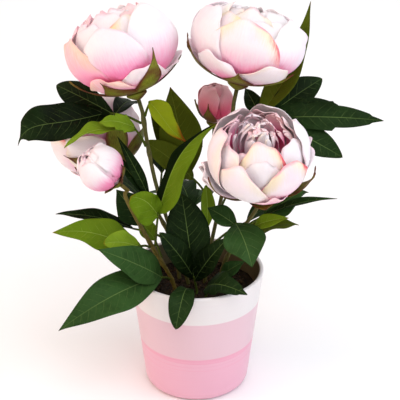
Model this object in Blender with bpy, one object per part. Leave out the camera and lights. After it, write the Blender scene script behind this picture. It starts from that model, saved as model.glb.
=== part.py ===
"""A potted peony: flower stems with blooms, buds and leaves, planted in a tapered pot with three bands."""

import math
import random
from collections import namedtuple

import bmesh
import bpy
from mathutils import Matrix, Vector

# Every size below is in millimetres, angles are in degrees, and MM turns lengths into metres
MM = 0.001

# The gap that touching pieces keep, and points this close are one
GAP = 0.3
WELD = 0.01

# Edges that bend more than this stay sharp
SHARP_ANGLE = 40

# The pot: a straight taper with a rounded foot and a rounded lip
POT_HEIGHT = 123.0
POT_RIM_RADIUS = 65.0
POT_FOOT_RADIUS = 50.5
POT_WALL = 4.0
POT_FLOOR = 6.0
POT_FOOT_ROUNDING = 9.0
POT_SEGMENTS = 48
POT_FOOT_STEPS = 3
POT_LIP_STEPS = 4

# The soil that holds the stems
SOIL_TOP = 100.0
SOIL_SEGMENTS = 24
SOIL_RINGS = 3
SOIL_RELIEF = 1.6
PLANTED_FROM = 62.0
HOLE_SIDES = 8
HOLE_CLEARANCE = 0.6
HOLE_LENGTH = 60.0
SOIL_SEED = 11

# Stems and leaf stalks
STEM_RADIUS = 2.2
STEM_STEP = 19.0
STALK_RADIUS = 1.25
STALK_SIDES = 4
STALK_STEP = 20.0
STALK_ARCH = 0.06
STALK_STRAIGHT = 6.0
STALK_CLEAR = 3.0
LEAFLET_STEP = 3.5
LEAFLET_BEHIND = 0.5
HEAD_RUN = 12.0
CURVE_PARTS = 24
SEAT_STEP = 2.0
LEAST_SLOPE = 0.4

# Blades: leaves, petals and sepals are sheets of these thicknesses
LEAF_THICKNESS = 0.8
PETAL_THICKNESS = 1.0
SEPAL_THICKNESS = 0.8
LEAF_ROWS = (0.14, 0.36, 0.6, 0.83)
SHORT_LEAF_ROWS = (0.2, 0.5, 0.8)
SHORT_LEAF = 80.0
LEAF_ROOT_HALF = 1.0
LEAF_ROOT_SUNK = 1.6
LEAF_SKEW = 0.82
LEAF_FULLNESS = 0.85
LEAF_EDGE_LEAN = 0.25
PETAL_ROWS = (0.0, 0.3, 0.56, 0.8, 1.0)
PETAL_COLUMNS = (-1.0, -0.36, 0.36, 1.0)
SMALL_ROWS = (0.0, 0.4, 0.75, 1.0)
SMALL_COLUMNS = (-1.0, 0.0, 1.0)

# Petals as parts of their length and half width: a narrow root, the widest place, and a blunt round tip
PETAL_ROOT_RADIUS = 6.5
PETAL_ROOT_WIDTH = 0.1
PETAL_WIDEST = 0.6
PETAL_TIP_REACH = 0.44
PETAL_TIP_ROUNDING = 0.1
PETAL_TWIST_FROM = 0.4
PETAL_LEAST_RADIUS = 5.0
INNER_LOWERING = 0.75
TWIST_LOWERING = 0.8

# Sepals: how wide their root is, and the place past which they only taper
SEPAL_ROOT_WIDTH = 0.45
SEPAL_TAPER_FROM = 0.7

# How much a flower's petals differ from each other
CLOSING_SPREAD = 2.0
WIDTH_SPREAD = (0.94, 1.04)
CENTRE_STAGGER = 0.35
CENTRE_TWIST = 0.6

# The calyx under each flower, and the neck on which the petals grow
CALYX_TOP = 6.5
CALYX_RADIUS = 9.5
CALYX_FOOT_RADIUS = 2.7
CALYX_SHOULDER = 4.4
NECK_RADIUS = 8.5
NECK_FLARE = (0.5, 3.0)
BUD_SCALE = 0.8
SEPAL_OFF = 5.5
BLOOM_LIFT = 12.0
BUD_LIFT = 8.0
CALYX_SIDES = 8
CORE_SIDES = 8

# The core in a flower: rings given as a part of its width, then of the cup's height below the cup's middle
CORE_RINGS = ((0.72, 0.72), (1.0, 0.3), (0.86, 0.0))
CORE_TOP_WIDTH = 0.45
CORE_TOP_DROP = 3.0
CORE_RISE = 6.0
BUD_RISE = 0.82

# A petal's or sepal's place in its flower. angle turns about the flower's axis, 0 to the right and 90 to the
# back, inset is its distance inside the outer cup, and closing is how far it wraps over the top.
Petal = namedtuple("Petal", "angle inset width closing twist")
Flower = namedtuple("Flower", "head axis radius height lift core rings sepals")

# A leaf: its stalk leaves a stem at a height, or the soil at a place, and carries blades at its end. A blade
# bows toward the side it faces, and its fold is how far its edges rise for each part of their half width.
Leaf = namedtuple("Leaf", "stem height knuckle colour blades")
Blade = namedtuple("Blade", "tip width facing bow fold form")

# Each stem's place in the soil, and its route above it up to where the flower's own axis takes over
STEM_ROUTES = {
    "stem_a": ((-8, 6), (
        (-14, 4, 126), (-23, 2, 155), (-31, 2, 182), (-39, 3, 212), (-45, 4, 245), (-48, 5, 266))),
    "stem_b": ((8, 10), (
        (11, 11, 126), (17, 12, 157), (24, 13, 193), (29, 13, 224), (31, 11, 254), (33, 9, 276))),
    "stem_c": ((20, -4), (
        (26, -6, 128), (36, -9, 154), (47, -13, 176), (55, -17, 191))),
    "stem_d": ((-17, 16), (
        (-20, 19, 124), (-29, 20, 152), (-42, 17, 180), (-55, 14, 202))),
    "stem_e": ((-20, -9), (
        (-26, -12, 120), (-37, -17, 143), (-48, -22, 168), (-58, -24, 190), (-66, -21, 208))),
    "stem_f": ((4, 25), (
        (7, 31, 130), (12, 40, 165), (15, 46, 200), (17, 50, 230))),
}

# Rings of petals, each given by its petals' angles, its inset, width, closing angle and twist
FLOWERS = {
    "a": Flower(
        head=(-53.1, 7.4, 291.1), axis=(-0.29, 0.2, 0.94), radius=51, height=41, lift=BLOOM_LIFT, core=38,
        rings=(
            ((238, 292, 20, 120), -5, 38, 62, 1.2),
            ((316, 130, 48), 0, 70, 132, 1.5),
            ((260, 205), 0, 70, 116, 1.5),
            ((288, 232, 175, 100, 20), 6, 60, 130, 1.4),
        ),
        sepals=((300, 80, 20), (242, 58, 26), (188, 68, 15), (16, 60, 15), (110, 60, 22)),
    ),
    "b": Flower(
        head=(36.5, 10.2, 299.7), axis=(0.2, 0.12, 0.97), radius=51, height=36, lift=BLOOM_LIFT, core=38,
        rings=(
            ((232, 300, 95, 150), -5, 42, 72, 1.2),
            ((326, 202, 128, 50), 0, 70, 134, 1.5),
            ((263,), 0, 74, 124, 1.5),
            ((292, 232, 170, 100, 20), 6, 60, 134, 1.4),
        ),
        sepals=((264, 56, 26), (204, 86, 12), (325, 64, 20), (90, 62, 22)),
    ),
    "c": Flower(
        head=(56.9, -24.2, 211.8), axis=(-0.04, -0.4, 0.915), radius=44, height=40, lift=BLOOM_LIFT, core=27,
        rings=(
            ((192, 20, 110), -5, 34, 86, 1.0),
            ((242, 306), 0, 56, 119, 1.5),
            ((186, 10, 70, 128), 0, 52, 138, 1.5),
            ((272,), 6, 46, 127, 1.3),
            ((214, 330, 140, 75), 6, 50, 134, 1.3),
            ((300, 240, 175, 105, 35), 12, 40, 130, 1.0),
        ),
        sepals=((212, 92, 15), (335, 96, 14), (276, 58, 20), (150, 70, 18), (60, 70, 18)),
    ),
    "d": Flower(
        head=(-71.1, 24.1, 217.5), axis=(-0.57, 0.72, 0.4), radius=43, height=38, lift=BLOOM_LIFT, core=28,
        rings=(
            ((215, 310, 80), -5, 36, 70, 1.0),
            ((250, 322, 178, 106, 34), 0, 54, 128, 1.5),
            ((286, 214, 142, 70, 358), 6, 46, 124, 1.2),
        ),
        sepals=((280, 74, 20), (200, 66, 17), (350, 70, 18), (90, 60, 20)),
    ),
    "e": Flower(
        head=(-70.5, -18.2, 217.9), axis=(-0.6, -0.35, 0.72), radius=20, height=20, lift=BUD_LIFT, core=15,
        rings=(
            ((250, 10, 130), 0, 40, 158, 1.2),
        ),
        sepals=((262, 60, 12), (345, 84, 10), (170, 120, 11), (70, 96, 11)),
    ),
    "f": Flower(
        head=(17.0, 51.2, 248.0), axis=(0.02, -0.05, 1.0), radius=16.5, height=18, lift=BUD_LIFT, core=12,
        rings=(
            ((225, 345, 105), 0, 33, 160, 1.2),
        ),
        sepals=((250, 105, 11), (330, 60, 9), (160, 90, 10), (60, 80, 10)),
    ),
}

# The ring of narrow centre petals of each open bloom: how many, their radius, width and closing angle
CENTRES = {"a": (6, 25, 14, 140), "b": (6, 25, 14, 140), "c": (8, 17, 9, 128), "d": (5, 16, 11, 140)}

# Which blooms are buds, and so named
BUDS = ("e", "f")

LEAVES = {
    "leaf_a_left": Leaf("stem_a", 268, (-82, 20, 274), "dark", (
        Blade((-164, -6, 251), 37, (0.1, -0.75, 0.65), 9, 0.12, "plain"),
        Blade((-132, 40, 294), 25, (-0.2, -0.8, 0.55), 6, 0.12, "plain"),
        Blade((-62, 60, 271), 20, (0.0, -0.5, 0.85), 5, 0.12, "plain"),
    )),
    "leaf_a_light": Leaf("stem_a", 240, (-57, -8, 270), "light", (
        Blade((-88, -16, 277), 19, (0.1, -0.8, 0.6), 5, 0.35, "plain"),
        Blade((-119, -27, 257), 20, (0.1, -0.3, 0.95), 6, 0.2, "plain"),
    )),
    "leaf_a_bract": Leaf("stem_a", 272, (-42, -9, 294), "light", (
        Blade((-7, -13, 256), 18, (0.35, -0.85, 0.4), 6, 0.3, "plain"),
    )),
    "leaf_b_tall": Leaf("stem_b", 262, (60, 16, 276), "olive", (
        Blade((104, 44, 373), 24, (-0.55, -0.8, 0.2), -19, 0.2, "plain"),
    )),
    "leaf_b_right": Leaf("stem_b", 256, (64, 24, 267), "dark", (
        Blade((172, 6, 271), 80, (0.0, -0.8, 0.6), 8, 0.1, "wide_lobed"),
        Blade((46, 50, 288), 15, (0.0, -0.8, 0.6), 3, 0.1, "plain"),
    )),
    "leaf_f_centre": Leaf("stem_f", 176, (-8, 34, 206), "olive", (
        Blade((-25, 44, 291), 38, (0.1, -0.95, 0.1), 8, 0.12, "plain"),
        Blade((-46, 56, 270), 22, (0.2, -0.95, 0.1), -4, 0.12, "plain"),
        Blade((-49, 14, 248), 25, (0.4, -0.8, 0.4), 6, 0.12, "plain"),
    )),
    "leaf_f_light": Leaf("stem_f", 196, (9, 26, 196), "light", (
        Blade((10, 3, 161), 13, (0.3, -0.8, 0.5), 3, 0.2, "plain"),
    )),
    "leaf_e_tall": Leaf("stem_e", 150, (-35, -37, 198), "light", (
        Blade((17, -14, 275), 22, (-0.6, -0.75, 0.35), 8, 0.45, "plain"),
        Blade((-59, -46, 218), 27, (-0.2, -0.85, 0.5), 4, 0.15, "plain"),
    )),
    "leaf_e_light": Leaf("stem_e", 138, (-50, -22, 149), "light", (
        Blade((-131, -46, 182), 31, (0.1, -0.7, 0.7), 8, 0.15, "plain"),
    )),
    "leaf_e_round": Leaf("stem_e", 154, (-54, -38, 164), "light", (
        Blade((-84, -56, 176), 20, (0.1, -0.7, 0.7), 4, 0.2, "plain"),
    )),
    "leaf_e_low": Leaf("stem_e", 114, (-34, -28, 126), "dark", (
        Blade((-124, -93, 107), 36, (0.1, -0.65, 0.75), 19, 0.1, "plain"),
        Blade((-87, -76, 180), 30, (0.35, -0.75, 0.55), 6, 0.1, "plain"),
    )),
    "leaf_e_inner": Leaf("stem_e", 160, (-52, -8, 172), "dark", (
        Blade((-75, -6, 207), 27, (0.3, -0.9, 0.3), 4, 0.15, "plain"),
    )),
    "leaf_d_low": Leaf("stem_d", 140, (-62, 12, 158), "dark", (
        Blade((-133, -8, 183), 16, (0.2, -0.3, 0.93), 6, 0.15, "plain"),
    )),
    "leaf_d_hanging": Leaf("stem_d", 180, (-46, 8, 195), "dark", (
        Blade((-73, 2, 257), 10, (0.4, -0.9, 0.15), 3, 0.2, "plain"),
        Blade((-81, 6, 243), 9, (0.3, -0.9, 0.2), 4, 0.2, "plain"),
    )),
    "leaf_c_right": Leaf("stem_c", 168, (64, -10, 182), "dark", (
        Blade((100, -10, 208), 24, (-0.2, -0.8, 0.6), 5, 0.15, "plain"),
        Blade((126, -46, 216), 9, (0.1, -0.4, 0.9), 6, 0.3, "plain"),
    )),
    "leaf_c_light": Leaf("stem_c", 160, (54, -30, 181), "light", (
        Blade((82, -55, 201), 12, (-0.1, -0.75, 0.65), 4, 0.25, "plain"),
    )),
    "leaf_c_folded": Leaf("stem_c", 156, (36, -31, 184), "dark", (
        Blade((50, -66, 157), 37, (0.15, -0.85, 0.5), 8, 0.1, "plain"),
        Blade((10, -18, 194), 18, (0.0, -0.7, 0.7), 3, 0.15, "plain"),
    )),
    "leaf_m_centre": Leaf("soil", (0, -14), (-3, -25, 126), "dark", (
        Blade((-14, -13, 206), 40, (0.1, -0.97, 0.2), 6, 0.12, "plain"),
        Blade((-34, -42, 180), 22, (0.5, -0.75, 0.35), 5, 0.12, "plain"),
        Blade((31, -40, 176), 20, (-0.5, -0.75, 0.35), 5, 0.12, "plain"),
    )),
    "leaf_m_rim": Leaf("soil", (9, -20), (9, -30, 116), "dark", (
        Blade((46, -70, 131), 25, (-0.1, -0.6, 0.8), 11, 0.1, "notched"),
    )),
    "leaf_m_over": Leaf("soil", (-8, -24), (-8, -36, 118), "dark", (
        Blade((-19, -84, 103), 22, (0.0, -0.55, 0.83), 18, 0.1, "plain"),
    )),
    "leaf_c_low": Leaf("stem_c", 114, (24, -16, 122), "dark", (
        Blade((45, -22, 140), 13, (-0.3, -0.8, 0.5), 3, 0.2, "plain"),
    )),
    "leaf_e_yellow": Leaf("stem_e", 134, (-40, -1, 153), "light", (
        Blade((-57, -1, 176), 15, (0.3, -0.9, 0.3), 3, 0.15, "plain"),
    )),
    "leaf_b_back": Leaf("stem_b", 170, (34, 42, 188), "dark", (
        Blade((50, 112, 200), 74, (0.1, 0.35, 0.93), 10, 0.12, "three_lobed"),
    )),
    "leaf_b_side": Leaf("stem_b", 140, (50, 28, 158), "dark", (
        Blade((112, 58, 176), 34, (0.1, 0.0, 0.97), 8, 0.12, "plain"),
    )),
    "leaf_f_back": Leaf("stem_f", 140, (-6, 62, 156), "dark", (
        Blade((-26, 124, 160), 78, (0.0, 0.3, 0.95), 11, 0.12, "three_lobed"),
    )),
    "leaf_a_back": Leaf("stem_a", 196, (-34, 40, 206), "dark", (
        Blade((-8, 104, 226), 56, (0.0, 0.4, 0.92), 8, 0.12, "three_lobed"),
    )),
    "leaf_d_back": Leaf("stem_d", 160, (-54, 56, 168), "dark", (
        Blade((-98, 84, 182), 32, (0.0, 0.2, 0.97), 8, 0.12, "plain"),
    )),
    "leaf_c_back": Leaf("stem_c", 136, (44, 8, 146), "olive", (
        Blade((100, 20, 158), 32, (0.0, 0.0, 1.0), 8, 0.12, "plain"),
    )),
}

# Leaf outlines that are lobed. Each row has its place on the midrib, then how far along and how far out its
# left and its right edge lie, along as a part of the blade's length and out as a part of its half width.
LOBED_FORMS = {
    "three_lobed": (
        (0.06, (0.13, 0.34), (0.13, 0.34)), (0.15, (0.42, 1.0), (0.42, 1.0)),
        (0.34, (0.43, 0.38), (0.43, 0.38)), (0.52, (0.6, 0.5), (0.6, 0.5)),
        (0.76, (0.82, 0.32), (0.82, 0.32))),
    "wide_lobed": (
        (0.06, (0.2, 0.5), (0.16, 0.5)), (0.15, (0.5, 0.8), (0.69, 0.98)),
        (0.34, (0.48, 0.42), (0.6, 0.4)), (0.5, (0.6, 0.5), (0.66, 0.34)),
        (0.78, (0.82, 0.24), (0.84, 0.22))),
    "notched": (
        (0.12, (0.16, 0.55), (0.16, 0.55)), (0.36, (0.4, 0.95), (0.42, 0.8)),
        (0.56, (0.6, 0.95), (0.6, 1.05)), (0.72, (0.74, 0.72), (0.68, 0.75)),
        (0.9, (0.9, 0.8), (0.93, 0.55))),
}

# Colour and roughness of each kind of piece
FINISHES = {
    "pot": ((0.90, 0.66, 0.72), 0.32),
    "soil": ((0.03, 0.02, 0.015), 0.95),
    "stem": ((0.10, 0.12, 0.03), 0.6),
    "dark": ((0.02, 0.06, 0.015), 0.45),
    "olive": ((0.10, 0.12, 0.015), 0.5),
    "light": ((0.16, 0.26, 0.04), 0.5),
    "petal": ((0.88, 0.66, 0.72), 0.6),
    "sepal": ((0.14, 0.17, 0.02), 0.55),
}


def finish(kind):
    """The material of one kind of piece, made the first time it is asked for."""
    material = bpy.data.materials.get(kind)
    if material is None:
        colour, roughness = FINISHES[kind]
        material = bpy.data.materials.new(kind)
        material.use_nodes = True
        shader = material.node_tree.nodes["Principled BSDF"]
        shader.inputs["Base Color"].default_value = (*colour, 1.0)
        shader.inputs["Roughness"].default_value = roughness
        shader.inputs["Metallic"].default_value = 0.0
        material.diffuse_color = (*colour, 1.0)
    return material


def clear_scene():
    """Empties the scene."""
    for item in list(bpy.data.objects):
        bpy.data.objects.remove(item, do_unlink=True)


def placed(name, shape, kind):
    """An object from a bmesh in millimetres, in the scene, with its faces turned outward."""
    bmesh.ops.recalc_face_normals(shape, faces=shape.faces)
    bmesh.ops.scale(shape, vec=(MM, MM, MM), verts=shape.verts)
    mesh = bpy.data.meshes.new(name)
    shape.to_mesh(mesh)
    shape.free()
    mesh.materials.append(finish(kind))
    mesh.shade_smooth()
    mesh.set_sharp_from_angle(angle=math.radians(SHARP_ANGLE))
    item = bpy.data.objects.new(name, mesh)
    bpy.context.scene.collection.objects.link(item)
    return item


def fused(base, others):
    """Joins the other objects into the base with one Boolean union, and removes them."""
    group = bpy.data.collections.new("repeats")
    bpy.context.scene.collection.children.link(group)
    for item in others:
        bpy.context.scene.collection.objects.unlink(item)
        group.objects.link(item)
    union = base.modifiers.new("union", "BOOLEAN")
    union.operation = "UNION"
    union.operand_type = "COLLECTION"
    union.collection = group
    union.solver = "MANIFOLD"
    apply_modifiers(base)
    for item in others:
        bpy.data.objects.remove(item, do_unlink=True)
    bpy.data.collections.remove(group)
    keep_outer_shell(base.data)
    return base


def keep_outer_shell(mesh):
    """Fills any hollow that a union sealed, and drops any loose scrap, by keeping only the largest shell."""
    shape = bmesh.new()
    shape.from_mesh(mesh)
    left = set(shape.faces)
    shells = []
    while left:
        shell, edge = set(), [left.pop()]
        while edge:
            face = edge.pop()
            shell.add(face)
            for side in face.edges:
                near = [other for other in side.link_faces if other in left]
                left.difference_update(near)
                edge.extend(near)
        shells.append(shell)
    largest = max(shells, key=lambda shell: sum(face.calc_area() for face in shell))
    rest = [face for face in shape.faces if face not in largest]
    if rest:
        bmesh.ops.delete(shape, geom=rest, context="FACES")
    shape.to_mesh(mesh)
    shape.free()


def apply_modifiers(item):
    """Replaces the object's mesh with its evaluated mesh, and drops the modifiers."""
    view = bpy.context.evaluated_depsgraph_get()
    mesh = bpy.data.meshes.new_from_object(item.evaluated_get(view))
    item.modifiers.clear()
    item.data = mesh


def turned(profile, sides):
    """A closed solid of revolution about Z, whose profile runs from the axis to the axis."""
    shape = bmesh.new()
    points = [shape.verts.new((radius, 0.0, height)) for radius, height in profile]
    edges = [shape.edges.new(pair) for pair in zip(points, points[1:])]
    bmesh.ops.spin(
        shape, geom=points + edges, axis=(0, 0, 1), cent=(0, 0, 0), angle=math.tau, steps=sides)
    bmesh.ops.remove_doubles(shape, verts=shape.verts, dist=WELD)
    return shape


def arc(centre, radius, start, end, steps):
    """Points on an arc, with both of its ends."""
    turns = [math.radians(start + (end - start) * step / steps) for step in range(steps + 1)]
    return [(centre[0] + radius * math.cos(turn), centre[1] + radius * math.sin(turn)) for turn in turns]


def pot_radius(height):
    """The outer radius of the pot's straight wall at a height."""
    return POT_FOOT_RADIUS + (POT_RIM_RADIUS - POT_FOOT_RADIUS) * height / POT_HEIGHT


def make_pot():
    """The pot, turned, with a flat foot and a solid floor."""
    taper = math.atan2(POT_RIM_RADIUS - POT_FOOT_RADIUS, POT_HEIGHT)
    foot_centre = (pot_radius(POT_FOOT_ROUNDING) - POT_FOOT_ROUNDING / math.cos(taper), POT_FOOT_ROUNDING)
    foot = arc(foot_centre, POT_FOOT_ROUNDING, -90, -math.degrees(taper), POT_FOOT_STEPS)
    lip_radius = POT_WALL / 2
    lip = arc((POT_RIM_RADIUS - lip_radius, POT_HEIGHT - lip_radius), lip_radius, 0, 180, POT_LIP_STEPS)
    inside = (pot_radius(POT_FLOOR) - POT_WALL, POT_FLOOR)
    profile = [(0.0, 0.0)] + foot + lip + [inside, (0.0, POT_FLOOR)]
    return placed("pot", turned(profile, POT_SEGMENTS), "pot")


def make_soil(holes):
    """The soil plug, with a lumpy top and a plain hole for each stem that stands in it."""
    draw = random.Random(SOIL_SEED)
    bottom = POT_FLOOR + GAP
    inner = POT_WALL + GAP
    edge = pot_radius(SOIL_TOP) - inner
    profile = [(0.0, bottom), (pot_radius(bottom) - inner, bottom), (edge, SOIL_TOP - SOIL_RELIEF)]
    profile += [(edge * ring / SOIL_RINGS, SOIL_TOP) for ring in range(SOIL_RINGS - 1, 0, -1)]
    profile += [(0.0, SOIL_TOP)]
    shape = turned(profile, SOIL_SEGMENTS)
    for point in shape.verts:
        if point.co.z > SOIL_TOP - SOIL_RELIEF / 2:
            point.co.z += draw.uniform(-SOIL_RELIEF, SOIL_RELIEF)
    soil = placed("soil", shape, "soil")
    for place, radius in holes:
        drill(soil, place, radius + HOLE_CLEARANCE)
    return soil


def drill(soil, place, radius):
    """Cuts one plain hole down into the soil, for a stem to stand in."""
    shape = bmesh.new()
    bmesh.ops.create_cone(
        shape, cap_ends=True, segments=HOLE_SIDES, radius1=radius, radius2=radius, depth=HOLE_LENGTH)
    middle = PLANTED_FROM - GAP + HOLE_LENGTH / 2
    bmesh.ops.translate(shape, vec=(place[0], place[1], middle), verts=shape.verts)
    cutter = placed("cutter", shape, "soil")
    cut = soil.modifiers.new("hole", "BOOLEAN")
    cut.operation = "DIFFERENCE"
    cut.object = cutter
    apply_modifiers(soil)
    bpy.data.objects.remove(cutter, do_unlink=True)


def curve_point(corners, place):
    """A point on the smooth curve through the corners, where place counts corners."""
    span = min(int(place), len(corners) - 2)
    part = place - span
    before = corners[span - 1] if span > 0 else corners[0] * 2 - corners[1]
    after = corners[span + 2] if span + 2 < len(corners) else corners[-1] * 2 - corners[-2]
    start, end = corners[span], corners[span + 1]
    pull_start = (end - before) / 2
    pull_end = (after - start) / 2
    square, cube = part * part, part * part * part
    return (start * (2 * cube - 3 * square + 1) + pull_start * (cube - 2 * square + part)
            + end * (3 * square - 2 * cube) + pull_end * (cube - square))


def smooth_route(corners, step):
    """Points about one step apart on the smooth curve through the corners."""
    corners = [Vector(corner) for corner in corners]
    places = range(CURVE_PARTS * (len(corners) - 1) + 1)
    fine = [curve_point(corners, place / CURVE_PARTS) for place in places]
    lengths = [0.0]
    for start, end in zip(fine, fine[1:]):
        lengths.append(lengths[-1] + (end - start).length)
    count = max(2, round(lengths[-1] / step))
    points, reached = [], 0
    for number in range(count + 1):
        wanted = lengths[-1] * number / count
        while reached < len(lengths) - 2 and lengths[reached + 1] < wanted:
            reached += 1
        part = (wanted - lengths[reached]) / (lengths[reached + 1] - lengths[reached])
        points.append(fine[reached].lerp(fine[reached + 1], min(max(part, 0.0), 1.0)))
    return points


def stem_corners(name):
    """A stem's corners from its planted foot to the underside of its flower."""
    foot, above = STEM_ROUTES[name]
    flower = FLOWERS[name[-1]]
    head, axis = Vector(flower.head), Vector(flower.axis).normalized()
    start = [(foot[0], foot[1], PLANTED_FROM), (foot[0], foot[1], SOIL_TOP)]
    return start + list(above) + [head - axis * HEAD_RUN, head - axis * GAP]


def make_stem(name):
    """A stem: a bent round rod with filled ends."""
    curve = bpy.data.curves.new(name, "CURVE")
    curve.dimensions = "3D"
    curve.bevel_depth = STEM_RADIUS * MM
    curve.bevel_resolution = 1
    curve.use_fill_caps = True
    corners = stem_corners(name)
    route = smooth_route(corners[1:-1], STEM_STEP)
    route = [Vector(corners[0])] + route + [Vector(corners[-1])]
    line = curve.splines.new("POLY")
    line.points.add(len(route) - 1)
    for point, place in zip(line.points, route):
        point.co = (*(place * MM), 1.0)
    curve.materials.append(finish("stem"))
    item = bpy.data.objects.new(name, curve)
    bpy.context.scene.collection.objects.link(item)
    return item


def on_stem(name, height):
    """The point of a stem's middle line at a height, and its direction there."""
    route = smooth_route(stem_corners(name), SEAT_STEP)
    for start, end in zip(route, route[1:]):
        if end.z >= height:
            return start, (end - start).normalized()
    return route[-1], (route[-1] - route[-2]).normalized()


def swept(route, radius, sides):
    """A round rod along a route, with flat ends."""
    shape = bmesh.new()
    rings = []
    side = Vector((1.0, 0.0, 0.0))
    for number, place in enumerate(route):
        ahead = (route[min(number + 1, len(route) - 1)] - route[max(number - 1, 0)]).normalized()
        side = (side - ahead * side.dot(ahead)).normalized()
        other = ahead.cross(side)
        turns = [math.tau * step / sides for step in range(sides)]
        rings.append([shape.verts.new(place + (side * math.cos(turn) + other * math.sin(turn)) * radius)
                      for turn in turns])
    for lower, upper in zip(rings, rings[1:]):
        for step in range(sides):
            after = (step + 1) % sides
            shape.faces.new((lower[step], lower[after], upper[after], upper[step]))
    shape.faces.new(rings[0][::-1])
    shape.faces.new(rings[-1])
    return shape


def sheet(rows, thickness):
    """A closed thin solid on a grid of points, both faces split along the same short diagonals.

    A last row of one point makes a pointed tip.
    """
    shape = bmesh.new()
    grid = [[shape.verts.new(point) for point in row] for row in rows]
    for lower, upper in zip(grid, grid[1:]):
        for step in range(len(lower) - 1):
            left, right = lower[step], lower[step + 1]
            if len(upper) == 1:
                shape.faces.new((left, right, upper[0]))
                continue
            top_left, top_right = upper[step], upper[step + 1]
            if (left.co - top_right.co).length < (right.co - top_left.co).length:
                shape.faces.new((left, right, top_right))
                shape.faces.new((left, top_right, top_left))
            else:
                shape.faces.new((left, right, top_left))
                shape.faces.new((right, top_right, top_left))
    bmesh.ops.recalc_face_normals(shape, faces=shape.faces)
    shape.normal_update()
    half = {point: point.normal * (thickness / 2) for point in shape.verts}
    made = bmesh.ops.extrude_face_region(shape, geom=shape.faces[:])
    upper = [item for item in made["geom"] if isinstance(item, bmesh.types.BMVert)]
    lower = list(half)
    places = {tuple(point.co): half[point] for point in lower}
    for point in upper:
        point.co += places[tuple(point.co)]
    for point in lower:
        point.co -= half[point]
    rest = [face for face in shape.faces if len(face.verts) > 3]
    bmesh.ops.triangulate(shape, faces=rest)
    return shape


def leaflet_half_width(blade, place):
    """The half width of a plain leaflet at a part of its length: widest before its middle, then tapering."""
    body = math.sin(math.pi * place ** LEAF_SKEW) ** LEAF_FULLNESS
    return LEAF_ROOT_HALF * (1 - place) + (blade.width / 2) * body


def blade_outline(root, blade):
    """Rows of a blade: each row's place on the midrib, and how far along and out its two edges lie."""
    length = (Vector(blade.tip) - root).length
    rows = [(0.0, (0.0, LEAF_ROOT_HALF), (0.0, LEAF_ROOT_HALF))]
    if blade.form in LOBED_FORMS:
        half = blade.width / 2
        for place, left, right in LOBED_FORMS[blade.form]:
            rows.append((place, (left[0], left[1] * half), (right[0], right[1] * half)))
    else:
        for place in SHORT_LEAF_ROWS if length < SHORT_LEAF else LEAF_ROWS:
            half = leaflet_half_width(blade, place)
            edge = (place + LEAF_EDGE_LEAN * (1 - place) * half / length, half)
            rows.append((place, edge, edge))
    return rows


def blade_rows(root, blade):
    """Rows of points across an arched leaf blade, from its sunk root to its tip."""
    tip = Vector(blade.tip)
    along = (tip - root).normalized()
    facing = Vector(blade.facing)
    facing = (facing - along * facing.dot(along)).normalized()
    across = along.cross(facing)
    middle = (root + tip) / 2 + facing * (2 * blade.bow)
    start = root - (middle - root).normalized() * LEAF_ROOT_SUNK

    def midrib(place):
        return start * (1 - place) ** 2 + middle * (2 * place * (1 - place)) + tip * place ** 2

    rows = []
    for place, left, right in blade_outline(root, blade):
        row = []
        for (reach, half), hand in ((left, -1), (right, 1)):
            row.append(midrib(reach) + across * (half * hand) + facing * (blade.fold * half))
        rows.append([row[0], midrib(place), row[1]])
    rows.append([tip])
    return rows


def stalk_route(leaf):
    """A leaf stalk's route from its seat on a stem, or from the soil, to its blades."""
    knuckle = Vector(leaf.knuckle)
    if leaf.stem == "soil":
        x, y = leaf.height
        straight = SOIL_TOP + SOIL_RELIEF + STALK_CLEAR
        corners = [(x, y, straight - STALK_STRAIGHT), (x, y, straight), knuckle]
        return [Vector((x, y, PLANTED_FROM))] + smooth_route(corners, STALK_STEP / 2)
    seat, up = on_stem(leaf.stem, leaf.height)
    away = knuckle - seat
    bend = seat + away / 2 + Vector((0.0, 0.0, STALK_ARCH * away.length))
    first = (bend - seat).normalized()
    slope = max(LEAST_SLOPE, math.sqrt(1 - min(1.0, abs(first.dot(up))) ** 2))
    off = (STEM_RADIUS + GAP + STALK_RADIUS * abs(first.dot(up))) / slope
    return smooth_route([seat + first * off, bend, knuckle], STALK_STEP)


def make_leaf(name, leaf):
    """A leaf: a stalk with one to four arched blades fused to its end."""
    route = stalk_route(leaf)
    stalk = placed(name, swept(route, STALK_RADIUS, STALK_SIDES), leaf.colour)
    blades = []
    back = (route[-2] - route[-1]).normalized()
    for number, blade in enumerate(leaf.blades):
        behind = Vector(blade.facing).normalized() * (-LEAFLET_BEHIND if number else 0.0)
        root = route[-1] + back * (LEAFLET_STEP * number) + behind
        shape = sheet(blade_rows(root, blade), LEAF_THICKNESS)
        blades.append(placed(f"{name}_blade_{number}", shape, leaf.colour))
    return fused(stalk, blades)


def flower_frame(flower):
    """The matrix that stands a flower's own frame at its head, with its X to the right."""
    up = Vector(flower.axis).normalized()
    away = up.cross(Vector((1.0, 0.0, 0.0))).normalized()
    right = away.cross(up)
    frame = Matrix((right, away, up)).transposed().to_4x4()
    return Matrix.Translation(flower.head) @ frame


def cup_point(flower, petal, place, across, half):
    """A point of a petal on its flower's cup, in the flower's own frame."""
    outer = flower.radius - petal.inset
    tall = flower.height - INNER_LOWERING * petal.inset
    start = math.degrees(math.asin(PETAL_ROOT_RADIUS / outer))
    reach = place * (1 - PETAL_TIP_ROUNDING * across * across * place)
    wrap = math.radians(start + (petal.closing - start) * reach)
    lift = petal.twist * across * min(1.0, place / PETAL_TWIST_FROM)
    radius = (outer + lift) * math.sin(wrap)
    height = flower.lift + flower.height - (tall + TWIST_LOWERING * lift) * math.cos(wrap)
    turn = math.radians(petal.angle) + across * half / max(radius, PETAL_LEAST_RADIUS)
    return Vector((radius * math.cos(turn), radius * math.sin(turn), height))


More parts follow.
